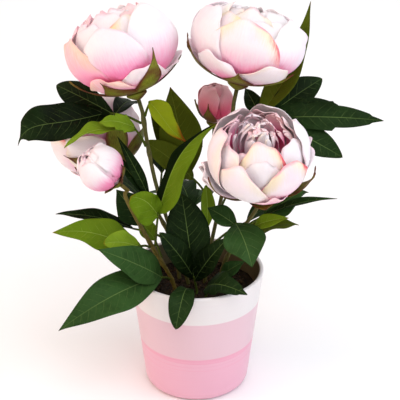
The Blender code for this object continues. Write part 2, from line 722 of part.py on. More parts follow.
def petal_half_width(width, place):
    """A petal's half width at a part of its length: widest past its middle, and blunt at its tip."""
    grown = math.sin(math.pi / 2 * min(1.0, place / PETAL_WIDEST))
    past = max(0.0, place - PETAL_WIDEST) / PETAL_TIP_REACH
    return width / 2 * (PETAL_ROOT_WIDTH + (1 - PETAL_ROOT_WIDTH) * grown) * math.sqrt(1 - past * past)


def sepal_half_width(width, place):
    """A sepal's half width at a part of its length: it tapers to a point."""
    swelling = math.sin(math.pi * min(1.0, place / SEPAL_TAPER_FROM))
    return width / 2 * (SEPAL_ROOT_WIDTH + (1 - SEPAL_ROOT_WIDTH) * swelling) * (1 - place ** 3)


def petal_shape(flower, petal, rows, columns):
    """One petal as a thin closed solid in place."""
    frame = flower_frame(flower)
    points = [[frame @ cup_point(flower, petal, row, column, petal_half_width(petal.width, row))
               for column in columns] for row in rows]
    return sheet(points, PETAL_THICKNESS)


def sepal_shape(flower, petal):
    """One pointed sepal as a thin closed solid in place."""
    frame = flower_frame(flower)
    points = [[frame @ cup_point(flower, petal, row, column, sepal_half_width(petal.width, row))
               for column in SMALL_COLUMNS] for row in SMALL_ROWS[:-1]]
    points.append([frame @ cup_point(flower, petal, 1.0, 0.0, 0.0)])
    return sheet(points, SEPAL_THICKNESS)


def flower_petals(letter, flower):
    """All petals of a flower, from the outermost ring to the centre."""
    draw = random.Random(letter)
    petals = []
    for angles, inset, width, closing, twist in flower.rings:
        for angle in angles:
            closes = closing + draw.uniform(-CLOSING_SPREAD, CLOSING_SPREAD)
            petals.append(Petal(angle, inset, width * draw.uniform(*WIDTH_SPREAD), closes, twist))
    return petals


def centre_petals(letter, flower):
    """The narrow petals that stand up out of an open bloom's core."""
    count, radius, width, closing = CENTRES[letter]
    inset = flower.radius - radius
    turns = [360 * (number + CENTRE_STAGGER * (number % 2)) / count for number in range(count)]
    return [Petal(turn, inset, width, closing, CENTRE_TWIST) for turn in turns]


def core_profile(flower, bud):
    """The core that the petals grow out of: a neck that widens to a dome."""
    middle = flower.lift + flower.height
    top = middle + (BUD_RISE * flower.height - CORE_TOP_DROP if bud else CORE_RISE)
    neck = CALYX_TOP + GAP
    radius = NECK_RADIUS * (BUD_SCALE if bud else 1.0)
    profile = [(0.0, neck), (radius, neck), (radius + NECK_FLARE[0], neck + NECK_FLARE[1])]
    profile += [(width * flower.core, middle - below * flower.height) for width, below in CORE_RINGS]
    profile += [(CORE_TOP_WIDTH * flower.core, top - CORE_TOP_DROP), (0.0, top)]
    return profile


def make_flower(letter, flower):
    """A bloom or a bud: every petal fused to the core."""
    bud = letter in BUDS
    name = ("bud_" if bud else "bloom_") + letter
    shape = turned(core_profile(flower, bud), CORE_SIDES)
    bmesh.ops.transform(shape, matrix=flower_frame(flower), verts=shape.verts)
    core = placed(name, shape, "petal")
    shapes = []
    for petal in flower_petals(letter, flower):
        guard = petal.inset < 0
        rows, columns = (SMALL_ROWS, SMALL_COLUMNS) if guard else (PETAL_ROWS, PETAL_COLUMNS)
        shapes.append(petal_shape(flower, petal, rows, columns))
    if not bud:
        shapes += [petal_shape(flower, petal, SMALL_ROWS, SMALL_COLUMNS)
                   for petal in centre_petals(letter, flower)]
    petals = [placed(f"{name}_petal_{number}", shape, "petal") for number, shape in enumerate(shapes)]
    return fused(core, petals)


def make_calyx(letter, flower):
    """The calyx: a small cup under the petals with pointed sepals that lie along the outer petals."""
    name = "calyx_" + letter
    bud = letter in BUDS
    radius = CALYX_RADIUS * (BUD_SCALE if bud else 1.0)
    profile = [(0.0, 0.0), (CALYX_FOOT_RADIUS, 0.0), (radius, CALYX_SHOULDER), (radius, CALYX_TOP)]
    profile.append((0.0, CALYX_TOP))
    shape = turned(profile, CALYX_SIDES)
    bmesh.ops.transform(shape, matrix=flower_frame(flower), verts=shape.verts)
    cup = placed(name, shape, "sepal")
    outermost = min(ring[1] for ring in flower.rings)
    sepals = []
    for number, (angle, closing, width) in enumerate(flower.sepals):
        petal = Petal(angle, outermost - SEPAL_OFF, width, closing, 0.0)
        sepals.append(placed(f"{name}_sepal_{number}", sepal_shape(flower, petal), "sepal"))
    return fused(cup, sepals)


def planted():
    """The place and radius of each stem or stalk that stands in the soil."""
    stems = [(foot, STEM_RADIUS) for foot, _ in STEM_ROUTES.values()]
    stalks = [(leaf.height, STALK_RADIUS) for leaf in LEAVES.values() if leaf.stem == "soil"]
    return stems + stalks


def main():
    clear_scene()
    make_pot()
    make_soil(planted())
    for name in STEM_ROUTES:
        make_stem(name)
    for letter, flower in FLOWERS.items():
        make_flower(letter, flower)
        make_calyx(letter, flower)
    for name, leaf in LEAVES.items():
        make_leaf(name, leaf)


main()
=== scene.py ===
import math
import random
from collections import namedtuple

import bpy
import numpy as np
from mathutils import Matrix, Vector


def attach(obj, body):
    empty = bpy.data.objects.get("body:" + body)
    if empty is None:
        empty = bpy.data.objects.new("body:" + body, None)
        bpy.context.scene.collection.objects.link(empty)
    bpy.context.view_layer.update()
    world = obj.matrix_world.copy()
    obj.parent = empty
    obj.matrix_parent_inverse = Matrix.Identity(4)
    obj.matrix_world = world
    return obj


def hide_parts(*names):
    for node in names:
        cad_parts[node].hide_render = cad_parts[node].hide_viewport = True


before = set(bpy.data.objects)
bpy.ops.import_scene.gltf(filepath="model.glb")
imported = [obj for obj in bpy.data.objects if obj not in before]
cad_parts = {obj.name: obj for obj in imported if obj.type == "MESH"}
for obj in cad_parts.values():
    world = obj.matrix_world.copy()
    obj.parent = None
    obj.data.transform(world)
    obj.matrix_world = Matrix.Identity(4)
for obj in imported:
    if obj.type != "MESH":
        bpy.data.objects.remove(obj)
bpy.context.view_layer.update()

# The looks of a potted peony: fine petals, sepals, leaves, stems, soil and a glazed pot around the packed
# frame. Sizes are in millimetres and angles in degrees unless a name says otherwise; MM turns lengths into
# metres. The pieces grow from the same named values as the solids, with finer grids.
MM = 0.001
LEAST_LENGTH = 1e-9

# The gap that touching pieces keep, and the radius at which turned forms end at their axis
GAP = 0.3
AXIS_RADIUS = 0.05

# How much of a sheet, and how many turns round a rod, one unit of the Cloth map takes
CLOTH_UNIT = 100.0
ROD_WRAP = 10.0

# The camera that fits the photograph: it looks at a point on the pot's axis from the front and above
PHOTO_SIDE = 400
CAMERA_TARGET = (0.0, 0.0, 200.0)
CAMERA_DISTANCE = 1000.0
CAMERA_ELEVATION = 24.0
FOCAL_PIXELS = 1062.0
SENSOR_WIDTH = 36.0
TARGET_LEFT_OF_CENTRE = 3.3
TARGET_ABOVE_CENTRE = 6.1

# The pot: a straight taper with a rounded foot and a rounded lip, and two edges between its three bands
POT_HEIGHT = 123.0
POT_RIM_RADIUS = 65.0
POT_FOOT_RADIUS = 50.5
POT_WALL = 4.0
POT_FLOOR = 6.0
POT_FOOT_ROUNDING = 9.0
POT_INNER_ROUNDING = 5.0
POT_SEGMENTS = 160
POT_WALL_STEP = 0.8
POT_FOOT_STEPS = 10
POT_LIP_STEPS = 12
POT_FLOOR_STEPS = 6
LOW_BAND_TOP = 52.0
HIGH_BAND_FROM = 93.0
THROWING_RINGS = (42.0, 46.0, 49.5)
RING_DEPTH = 0.18
RING_WIDTH = 0.9

# The soil: its rough top, how far inside the wall and above the floor the corners of its foot lie, and the
# crumbs on it
SOIL_TOP = 100.0
SOIL_FOOT = ((5.2, 0.0), (1.4, 2.2), (0.0, 6.0))
SOIL_EDGE_DROP = 4.0
SOIL_MIDDLE_RADIUS = 0.4
SOIL_RELIEF = 1.6
SOIL_SEED = 11
SOIL_RINGS = 40
SOIL_SIDES = 120
SOIL_SMOOTHING = 2.2
SOIL_CRUMBS = 420
CRUMB_SIZES = (0.7, 2.2)
CRUMB_SPREAD = (0.75, 1.25)
CRUMB_CLEAR = 3.0
CRUMB_RISE = 0.5
CRUMB_SIDES = 7
CRUMB_PROFILE = ((0.05, -0.8), (0.7, -0.5), (1.0, 0.1), (0.6, 0.7), (0.05, 0.85))

# Stems with swellings at their leaves, and leaf stalks that seat on them
PLANTED_FROM = 62.0
STEM_RADIUS = 2.2
STEM_SLIMMER = 0.86
STEM_KNOT = 0.28
STEM_KNOT_LENGTH = 3.0
STEM_STEP = 3.0
STEM_SIDES = 12
STALK_RADIUS = 1.25
STALK_TAPER = (1.05, 0.75)
STALK_SIDES = 8
STALK_STEP = 3.0
STALK_ARCH = 0.06
STALK_STRAIGHT = 6.0
STALK_CLEAR = 3.0
HEAD_RUN = 12.0
CURVE_PARTS = 24
SEAT_STEP = 2.0
LEAST_SLOPE = 0.4

# Blades of leaves: their roots, folds, waves, teeth, hooked ends and the groove along the midrib
LEAF_THICKNESS = 0.5
LEAF_ROOT_HALF = 0.8
LEAF_TIP_HALF = 0.12
LEAF_ROOT_SUNK = 1.6
LEAFLET_STEP = 3.5
LEAFLET_BEHIND = 0.5
LEAF_EDGE_LEAN = 0.25
LEAF_FOLD = 0.08
LEAF_WAVE = 0.06
LEAF_WAVES = (1.6, 2.6)
LEAF_GROOVE = 0.35
LEAF_GROOVE_HALF = 1.2
LEAF_TEETH = 3.4
TOOTH_BITE = 0.6
TEETH_FROM = 0.25
HOOK_FROM = 0.88
HOOK_RUN = 0.07
HOOK_NARROWING = 0.8
LEAF_CROWDING = 1.25
LEAF_SHADE_SPREAD = 0.1
LEAF_ROWS = 34
LEAF_COLUMNS = 15

# Petals as parts of their length and half width: a narrow root, the widest place, and a blunt round tip
PETAL_THICKNESS = 0.45
PETAL_ROOT_RADIUS = 6.5
PETAL_ROOT_STEEPEST = 0.9
PETAL_ROOT_WIDTH = 0.1
PETAL_WIDEST = 0.6
PETAL_TIP_REACH = 0.6
PETAL_TIP_ROUNDING = 0.2
PETAL_TWIST_FROM = 0.4
PETAL_LEAST_RADIUS = 5.0
PETAL_BELLY = 0.035
PETAL_WAVES = (1.1, 1.9)
PETAL_TIP_WAVES = (0.7, 1.2)
NIBBLE_DEPTH = 0.014
NIBBLES = 5
TIP_CRIMPS = 8
SIDE_CRIMPS = 6
SIDE_CRIMP = 0.4
TIP_RUFFLE = 0.8
CRIMPED = 0.3
INNER_LOWERING = 0.75
TWIST_LOWERING = 0.8
PETAL_ROWS = 24
PETAL_COLUMNS = 19

# How much a flower's petals differ from each other, how wavy their edges are, and how the guards spread
CLOSING_SPREAD = 2.0
WIDTH_SPREAD = (0.94, 1.04)
PETAL_RUFFLE = 1.5
GUARD_RUFFLE = 2.4
GUARD_FLARE = 2.0
GUARD_BROADER = 1.25

# The petals inside those of the solids: their spread, how far inside they start, and their coarser grids
INNER_CLOSING_SPREAD = 5.0
INNER_WIDTH_SPREAD = (0.9, 1.1)
INNER_TURN_SPREAD = 6.0
INNER_RISE = 0.32
INNER_RISE_SPREAD = 0.12
INNER_RUFFLE = 2.0
INNER_FROM = 11.0
INNER_ROWS = 18
INNER_COLUMNS = 13

# How much pinker and less far flushed a petal's inner side is
INNER_BLUSH = 0.04
INNER_ROOT = 0.16

# Narrow petals in an open centre. Those whose root lies outside ROUND_TO stand at the back only, past an
# opening that widens with each millimetre, and the ones near FLUSH_AT are pinker.
PETALOID_ROWS = 14
PETALOID_COLUMNS = 7
PETALOID_CROWDING = 1.7
PETALOID_SINK = 8.0
PETALOID_ROOT_WIDTH = 0.35
PETALOID_WIDEST = 0.75
PETALOID_BLUNTNESS = 1.006
PETALOID_SQUATNESS = 0.12
PETALOID_CUP = 0.2
PETALOID_CURL = (0.04, 0.36)
PETALOID_SWAY = 0.2
PETALOID_SCATTER = 0.3
PETALOID_RING_TURN = 40
PETALOID_TALLNESS = (0.78, 1.14)
PETALOID_BREADTH = (0.8, 1.2)
PETALOID_ROUND_TO = 15.0
PETALOID_OPENING = 0.02
PETALOID_FLUSH_AT = 15.0
PETALOID_FLUSH_FROM = 0.6
PETALOID_TINTS = (("snow", "ivory", "snow", "warm"), ("pink", "blushed", "warm"))

# The core inside the petals
CORE_SHRINK = 0.7
CORE_SIDES = 24
CORE_TINT = (0.2, 0.0, 0.3, 0.0)
BUD_CORE_RISE = 0.6
CORE_ARC = range(-45, 90, 15)
NECK_RADIUS = 8.5
NECK_LENGTH = 3.0
NECK_ROUNDING = 0.6
NECK_WIDENING = 0.5

# The calyx under each flower, and its sepals, which lie off the outermost petals
CALYX_TOP = 6.5
CALYX_RADIUS = 9.5
CALYX_FOOT_RADIUS = 2.7
CALYX_SHOULDER = 4.4
CALYX_SIDES = 32
CALYX_TINT = (0.2, 0.0, 0.0, 0.0)
SEPAL_THICKNESS = 0.5
SEPAL_ROOT_WIDTH = 0.45
SEPAL_TIP_HALF = 0.1
SEPAL_SKEW = 0.95
SEPAL_OFF = 2.2
SEPAL_BROADER = 1.35
SEPAL_BELLY = 0.6
SEPAL_RUFFLE = 0.8
SEPAL_FLARE = 1.5
SEPAL_ROWS = 22
SEPAL_COLUMNS = 11
BUD_SCALE = 0.8
BLOOM_LIFT = 12.0
BUD_LIFT = 8.0

# Tints of stems: how far they darken, and how ochre they are. Those of stalks mark them as stalks.
STEM_TINTS = {
    "stem_a": (0.0, 0.1),
    "stem_b": (0.6, 0.1),
    "stem_c": (0.5, 0.25),
    "stem_d": (0.4, 0.2),
    "stem_e": (0.7, 0.9),
    "stem_f": (0.2, 0.1),
}
STALK_TINT = (0.5, 0.0, 1.0, 0.0)

# The leaflets that stand for a lobed blade: how far along it and how far out each tip lies, as parts of
# its length and half width, then its width and bow as parts of the blade's, and its outline
LEAFLET_FANS = {
    "three_lobed": (
        (1, 0, 0.36, 1, "toothed"), (0.58, 1, 0.32, 0.6, "plain"), (0.58, -1, 0.32, 0.6, "plain")),
    "wide_lobed": (
        (1, 0, 0.34, 1, "toothed"), (0.67, 0.9, 0.34, 0.7, "blunt"), (0.47, -1, 0.34, 0.7, "blunt"),
        (0.62, -0.34, 0.26, 0.6, "blunt")),
}

# The outline of a fine leaflet: where its widest place lies, how full it is, how deep its teeth are, how
# far it sways to one side and its end hooks, as parts of its length, and how wide its two halves are
Outline = namedtuple("Outline", "skew fullness teeth sway hook left right", defaults=(0, 0, 0, 1, 1))
OUTLINES = {
    "plain": Outline(0.85, 1.05, left=1.05, right=1.05),
    "spoon": Outline(1.5, 0.6),
    "blunt": Outline(1.1, 0.72),
    "round": Outline(0.95, 0.52, sway=0.03),
    "hooked": Outline(1.1, 0.62, hook=0.36),
    "tailed": Outline(0.62, 1.2, left=1.1, right=1.1),
    "whipped": Outline(0.5, 1.3, sway=0.09, left=1.1, right=0.9),
    "toothed": Outline(0.8, 0.9, teeth=0.3),
    "folded": Outline(0.6, 0.8, sway=-0.09, left=0.55, right=2.1),
    "swayed": Outline(0.8, 1.0, sway=0.06),
    "ribbon": Outline(0.7, 1.0, sway=0.1, left=0.6, right=0.9),
    "stepped": Outline(0.8, 0.8, teeth=0.35, sway=0.06, left=0.9, right=0.7),
    "mitten": Outline(0.8, 0.5, sway=0.12, left=1.25, right=0.8),
}

# The outlines of the blades of leaves that aren't all plain
LEAF_OUTLINES = {
    "leaf_a_left": ("hooked", "blunt", "blunt"),
    "leaf_a_light": ("stepped", "ribbon"),
    "leaf_a_bract": ("whipped",),
    "leaf_b_tall": ("tailed",),
    "leaf_e_tall": ("folded", "mitten"),
    "leaf_e_light": ("swayed",),
    "leaf_e_round": ("round",),
    "leaf_f_centre": ("plain", "plain", "blunt"),
    "leaf_m_centre": ("blunt", "blunt", "plain"),
    "leaf_m_rim": ("toothed",),
    "leaf_m_over": ("spoon",),
}

# How light each leaf is within its kind, where that is known from the photograph: partly the leaf's own
# tone and partly painted light and shade, darker for leaves in the shade of the blooms, lighter for lit
# ones
LEAF_LIGHTNESS_AND_PAINTED_LIGHT = {
    "leaf_a_left": 0.0, "leaf_b_right": 0.15, "leaf_e_low": 1.0, "leaf_m_centre": 0.0, "leaf_c_folded": 0.7,
    "leaf_m_rim": 0.25, "leaf_m_over": 0.25, "leaf_e_tall": 0.0, "leaf_e_light": 0.3, "leaf_e_round": 0.8,
    "leaf_a_light": 0.6, "leaf_a_bract": 0.2, "leaf_d_low": 0.0, "leaf_d_hanging": 0.0, "leaf_e_inner": 0.1,
    "leaf_b_tall": 1.0,
}

# Leaves whose far half is dark: painted shade of the half that folds away, standing also for the leaf's
# darker upper side. Then leaves that are yellow with a brown tip
SHADED_HALF_LEAVES = ("leaf_e_tall",)
BROWNED = ("leaf_a_bract",)

# Rings of narrow petals in open centres: how many, their root's radius and lean, their length and width
SMALL_CENTRE = ((14, 14, 2, 30, 10), (9, 9.5, 1.5, 33, 9.5), (6, 5.5, 1, 34, 9), (3, 2, 0.5, 34, 8))
PETALOIDS = {
    "a": SMALL_CENTRE,
    "b": SMALL_CENTRE,
    "c": (
        (14, 28, 7, 31, 18), (18, 21, 6, 33, 13), (18, 16.5, 4.5, 35, 11), (15, 12, 4, 37, 10),
        (11, 8, 2.5, 39, 9.5), (7, 4.5, 1, 40, 9), (3, 1.5, 0.5, 40, 8)),
    "d": ((11, 11, 2, 28, 9), (7, 6.5, 1.5, 30, 8.5), (3, 2.5, 0.5, 31, 8)),
}

# The tints that the inner rings draw from, and those of the lone petals among them
FIRST_TINTS = {"c": ("flamed", "deep", "pale")}
INNER_TINTS = {
    "a": ("pink", "pale", "rosy", "pink"),
    "b": ("white", "pale", "white", "cream"),
    "c": ("warm", "warm", "deep", "pale"),
    "d": ("cream", "white", "rosy"),
    "e": ("bud", "pale"),
    "f": ("dusky",),
}

# A petal or sepal of a flower. Its angle turns about the flower's axis, 0 to the right and 90 to the
# back. It lies an inset inside the outer cup, and lowering is how much lower each millimetre of that sets
# it. Closing is how far it wraps over the top, twist how far one edge lies over the other, belly how much
# it bulges, ruffle how wavy its edge is, and flare how far its tip leans outward.
Petal = namedtuple("Petal", "angle inset width closing twist belly ruffle flare lowering tint")
Flower = namedtuple("Flower", "head axis radius height core rings sepals lift", defaults=(BLOOM_LIFT,))

# A leaf: its stalk leaves a stem at a height, or the soil at a place, and carries blades at its end. A
# blade bows toward the side it faces, and its fold is how steeply its edges rise from its middle.
Leaf = namedtuple("Leaf", "stem height knuckle colour blades")
Blade = namedtuple("Blade", "tip width facing bow fold form", defaults=("plain",))

# Each stem's place in the soil, then its route above it up to where the flower's own axis takes over
STEM_ROUTES = {
    "stem_a": (
        (-8, 6), (-14, 4, 126), (-23, 2, 155), (-31, 2, 182), (-39, 3, 212), (-45, 4, 245), (-48, 5, 266)),
    "stem_b": (
        (8, 10), (11, 11, 126), (17, 12, 157), (24, 13, 193), (29, 13, 224), (31, 11, 254), (33, 9, 276)),
    "stem_c": (
        (20, -4), (26, -6, 128), (36, -9, 154), (47, -13, 176), (55, -17, 191)),
    "stem_d": (
        (-17, 16), (-20, 19, 124), (-29, 20, 152), (-42, 17, 180), (-55, 14, 202)),
    "stem_e": (
        (-20, -9), (-26, -12, 120), (-37, -17, 143), (-48, -22, 168), (-58, -24, 190), (-66, -21, 208)),
    "stem_f": (
        (4, 25), (7, 31, 130), (12, 40, 165), (15, 46, 200), (17, 50, 230)),
}

# Rings of petals, each given by its petals' angles, its inset, width, closing angle and twist
FLOWERS = {
    "a": Flower(
        head=(-53.1, 7.4, 291.1), axis=(-0.29, 0.2, 0.94), radius=51, height=41, core=38,
        rings=(
            ((238, 292, 20, 120), -5, 38, 62, 1.2),
            ((316, 130, 48), 0, 70, 132, 1.5),
            ((260, 205), 0, 70, 116, 1.5),
            ((288, 232, 175, 100, 20), 6, 60, 130, 1.4),
        ),
        sepals=((300, 80, 20), (242, 58, 26), (188, 68, 15), (16, 60, 15), (110, 60, 22)),
    ),
    "b": Flower(
        head=(36.5, 10.2, 299.7), axis=(0.2, 0.12, 0.97), radius=51, height=36, core=38,
        rings=(
            ((232, 300, 95, 150), -5, 42, 72, 1.2),
            ((326, 202, 128, 50), 0, 70, 134, 1.5),
            ((263,), 0, 74, 124, 1.5),
            ((292, 232, 170, 100, 20), 6, 60, 134, 1.4),
        ),
        sepals=((264, 56, 26), (204, 86, 12), (325, 64, 20), (90, 62, 22)),
    ),
    "c": Flower(
        head=(56.9, -24.2, 211.8), axis=(-0.04, -0.4, 0.915), radius=44, height=40, core=27,
        rings=(
            ((192, 20, 110), -5, 34, 86, 1.0),
            ((242, 306), 0, 56, 119, 1.5),
            ((186, 10, 70, 128), 0, 52, 138, 1.5),
            ((272,), 6, 46, 127, 1.3),
            ((214, 330, 140, 75), 6, 50, 134, 1.3),
            ((300, 240, 175, 105, 35), 12, 40, 130, 1.0),
        ),
        sepals=((212, 92, 15), (335, 96, 14), (276, 58, 20), (150, 70, 18), (60, 70, 18)),
    ),
    "d": Flower(
        head=(-71.1, 24.1, 217.5), axis=(-0.57, 0.72, 0.4), radius=43, height=38, core=28,
        rings=(
            ((215, 310, 80), -5, 36, 70, 1.0),
            ((250, 322, 178, 106, 34), 0, 54, 128, 1.5),
            ((286, 214, 142, 70, 358), 6, 46, 124, 1.2),
        ),
        sepals=((280, 74, 20), (200, 66, 17), (350, 70, 18), (90, 60, 20)),
    ),
    "e": Flower(
        head=(-70.5, -18.2, 217.9), axis=(-0.6, -0.35, 0.72), radius=20, height=20, core=15, lift=BUD_LIFT,
        rings=(((250, 10, 130), 0, 40, 158, 1.2),),
        sepals=((262, 60, 12), (345, 84, 10), (170, 120, 11), (70, 96, 11)),
    ),
    "f": Flower(
        head=(17.0, 51.2, 248.0), axis=(0.02, -0.05, 1.0), radius=16.5, height=18, core=12, lift=BUD_LIFT,
        rings=(((225, 345, 105), 0, 33, 160, 1.2),),
        sepals=((250, 105, 11), (330, 60, 9), (160, 90, 10), (60, 80, 10)),
    ),
}

# The flowers that are buds
BUDS = ("e", "f")

# Each leaf, with its blades given in the order of a Blade's fields
LEAVES = {
    "leaf_a_left": Leaf("stem_a", 268, (-82, 20, 274), "dark", (
        ((-164, -6, 251), 37, (0.1, -0.75, 0.65), 9, 0.12),
        ((-132, 40, 294), 25, (-0.2, -0.8, 0.55), 6, 0.12),
        ((-62, 60, 271), 20, (0, -0.5, 0.85), 5, 0.12))),
    "leaf_a_light": Leaf("stem_a", 240, (-57, -8, 270), "light", (
        ((-88, -16, 277), 19, (0.1, -0.8, 0.6), 5, 0.35),
        ((-119, -27, 257), 20, (0.1, -0.3, 0.95), 6, 0.2))),
    "leaf_a_bract": Leaf("stem_a", 272, (-42, -9, 294), "light", (
        ((-7, -13, 256), 18, (0.35, -0.85, 0.4), 6, 0.3),)),
    "leaf_b_tall": Leaf("stem_b", 262, (60, 16, 276), "olive", (
        ((104, 44, 373), 24, (-0.55, -0.8, 0.2), -19, 0.2),)),
    "leaf_b_right": Leaf("stem_b", 256, (64, 24, 267), "dark", (
        ((172, 6, 271), 80, (0, -0.8, 0.6), 8, 0.1, "wide_lobed"),
        ((46, 50, 288), 15, (0, -0.8, 0.6), 3, 0.1))),
    "leaf_f_centre": Leaf("stem_f", 176, (-8, 34, 206), "olive", (
        ((-25, 44, 291), 38, (0.1, -0.95, 0.1), 8, 0.12),
        ((-46, 56, 270), 22, (0.2, -0.95, 0.1), -4, 0.12),
        ((-49, 14, 248), 25, (0.4, -0.8, 0.4), 6, 0.12))),
    "leaf_f_light": Leaf("stem_f", 196, (9, 26, 196), "light", (
        ((10, 3, 161), 13, (0.3, -0.8, 0.5), 3, 0.2),)),
    "leaf_e_tall": Leaf("stem_e", 150, (-35, -37, 198), "light", (
        ((17, -14, 275), 22, (-0.6, -0.75, 0.35), 8, 0.45),
        ((-59, -46, 218), 27, (-0.2, -0.85, 0.5), 4, 0.15))),
    "leaf_e_light": Leaf("stem_e", 138, (-50, -22, 149), "light", (
        ((-131, -46, 182), 31, (0.1, -0.7, 0.7), 8, 0.15),)),
    "leaf_e_round": Leaf("stem_e", 154, (-54, -38, 164), "light", (
        ((-84, -56, 176), 20, (0.1, -0.7, 0.7), 4, 0.2),)),
    "leaf_e_low": Leaf("stem_e", 114, (-34, -28, 126), "dark", (
        ((-124, -93, 107), 36, (0.1, -0.65, 0.75), 19, 0.1),
        ((-87, -76, 180), 30, (0.35, -0.75, 0.55), 6, 0.1))),
    "leaf_e_inner": Leaf("stem_e", 160, (-52, -8, 172), "dark", (
        ((-75, -6, 207), 27, (0.3, -0.9, 0.3), 4, 0.15),)),
    "leaf_d_low": Leaf("stem_d", 140, (-62, 12, 158), "dark", (
        ((-133, -8, 183), 16, (0.2, -0.3, 0.93), 6, 0.15),)),
    "leaf_d_hanging": Leaf("stem_d", 180, (-46, 8, 195), "dark", (
        ((-73, 2, 257), 10, (0.4, -0.9, 0.15), 3, 0.2),
        ((-81, 6, 243), 9, (0.3, -0.9, 0.2), 4, 0.2))),
    "leaf_c_right": Leaf("stem_c", 168, (64, -10, 182), "dark", (
        ((100, -10, 208), 24, (-0.2, -0.8, 0.6), 5, 0.15),
        ((126, -46, 216), 9, (0.1, -0.4, 0.9), 6, 0.3))),
    "leaf_c_light": Leaf("stem_c", 160, (54, -30, 181), "light", (
        ((82, -55, 201), 12, (-0.1, -0.75, 0.65), 4, 0.25),)),
    "leaf_c_folded": Leaf("stem_c", 156, (36, -31, 184), "dark", (
        ((50, -66, 157), 37, (0.15, -0.85, 0.5), 8, 0.1),
        ((10, -18, 194), 18, (0, -0.7, 0.7), 3, 0.15))),
    "leaf_m_centre": Leaf("soil", (0, -14), (-3, -25, 126), "dark", (
        ((-14, -13, 206), 40, (0.1, -0.97, 0.2), 6, 0.12),
        ((-34, -42, 180), 22, (0.5, -0.75, 0.35), 5, 0.12),
        ((31, -40, 176), 20, (-0.5, -0.75, 0.35), 5, 0.12))),
    "leaf_m_rim": Leaf("soil", (9, -20), (9, -30, 116), "dark", (
        ((46, -70, 131), 25, (-0.1, -0.6, 0.8), 11, 0.1),)),
    "leaf_m_over": Leaf("soil", (-8, -24), (-8, -36, 118), "dark", (
        ((-19, -84, 103), 22, (0, -0.55, 0.83), 18, 0.1),)),
    "leaf_c_low": Leaf("stem_c", 114, (24, -16, 122), "dark", (
        ((45, -22, 140), 13, (-0.3, -0.8, 0.5), 3, 0.2),)),
    "leaf_e_yellow": Leaf("stem_e", 134, (-40, -1, 153), "light", (
        ((-57, -1, 176), 15, (0.3, -0.9, 0.3), 3, 0.15),)),
    "leaf_b_back": Leaf("stem_b", 170, (34, 42, 188), "dark", (
        ((50, 112, 200), 74, (0.1, 0.35, 0.93), 10, 0.12, "three_lobed"),)),
    "leaf_b_side": Leaf("stem_b", 140, (50, 28, 158), "dark", (
        ((112, 58, 176), 34, (0.1, 0, 0.97), 8, 0.12),)),
    "leaf_f_back": Leaf("stem_f", 140, (-6, 62, 156), "dark", (
        ((-26, 124, 160), 78, (0, 0.3, 0.95), 11, 0.12, "three_lobed"),)),
    "leaf_a_back": Leaf("stem_a", 196, (-34, 40, 206), "dark", (
        ((-8, 104, 226), 56, (0, 0.4, 0.92), 8, 0.12, "three_lobed"),)),
    "leaf_d_back": Leaf("stem_d", 160, (-54, 56, 168), "dark", (
        ((-98, 84, 182), 32, (0, 0.2, 0.97), 8, 0.12),)),
    "leaf_c_back": Leaf("stem_c", 136, (44, 8, 146), "olive", (
        ((100, 20, 158), 32, (0, 0, 1), 8, 0.12),)),
}


def closed_rings(closing):
    """The inner rings of a large closed bloom, each a little more closed than the one outside it."""
    rings = (
        ((318, 262, 196, 140, 84, 28), 11, 54, 1.2),
        ((345, 288, 224, 168, 112, 52), 17, 46, 1.0),
        ((310, 250, 190, 130, 70, 10), 24, 36, 0.8),
        ((340, 250, 160, 70), 32, 28, 0.6))
    return [(angles, inset, width, closing + 4 * number, twist)
            for number, (angles, inset, width, twist) in enumerate(rings)]


# Rings of petals inside those of the solids, given in the same way
INNER_RINGS = {
    "a": closed_rings(142),
    "b": closed_rings(144),
    "c": (
        ((276,), 8, 46, 149, 1.2),
        ((290,), -4, 36, 70, 1.0),
        ((190,), -11, 36, 74, 1.0),
        ((330, 200, 150, 90, 30), 9, 38, 126, 0.8),
    ),
    "d": (
        ((312, 254, 196, 140, 84, 28), 12, 44, 134, 1.2),
        ((340, 282, 224, 168, 112, 52), 19, 36, 140, 1.0),
        ((310, 230, 150, 70), 26, 28, 146, 0.8),
    ),
    "e": (((310, 190, 70), 2.6, 36, 172, 0.8), ((250, 130, 10), 4.8, 28, 174, 0.6)),
    "f": (((285, 165, 45), 2.4, 30, 174, 0.8),),
}

# Tints of a petal: how far the pink climbs from its root, how yellow its tip is, how much it blushes all
# over, and how pink its edge is
TINTS = {
    "white": (0.58, 0, 0, 0.2),
    "rosy": (0.69, 0, 0.07, 0.3),
    "pink": (0.76, 0, 0.55, 0.4),
    "deep": (0.85, 0, 0.6, 0.3),
    "cream": (0.46, 0.35, 0.04, 0.5),
    # A salmon blush, partly the petals' own and partly painted warm light from the left
    "warm_lit_peach": (0.72, 0.3, 0.82, 0.3),
    "yellow": (0.45, 0.9, 0.04, 1),
    "flamed": (0.58, 0.55, 0.16, 1),
    "blazing": (0.5, 1, 0.3, 1),
    "pale": (0.48, 0, 0.1, 0.3),
    "ivory": (0.16, 0.3, 0, 0.5),
    "snow": (0.22, 0, 0, 0.3),
    "warm": (0.46, 0, 0.3, 0.5),
    "blushed": (0.42, 0, 0.6, 0.6),
    "bud": (0.6, 0, 0, 0.5),
    # The bud behind the blooms, its dullness partly painted shade
    "dusky": (1, 0, 1, 0.4),
}

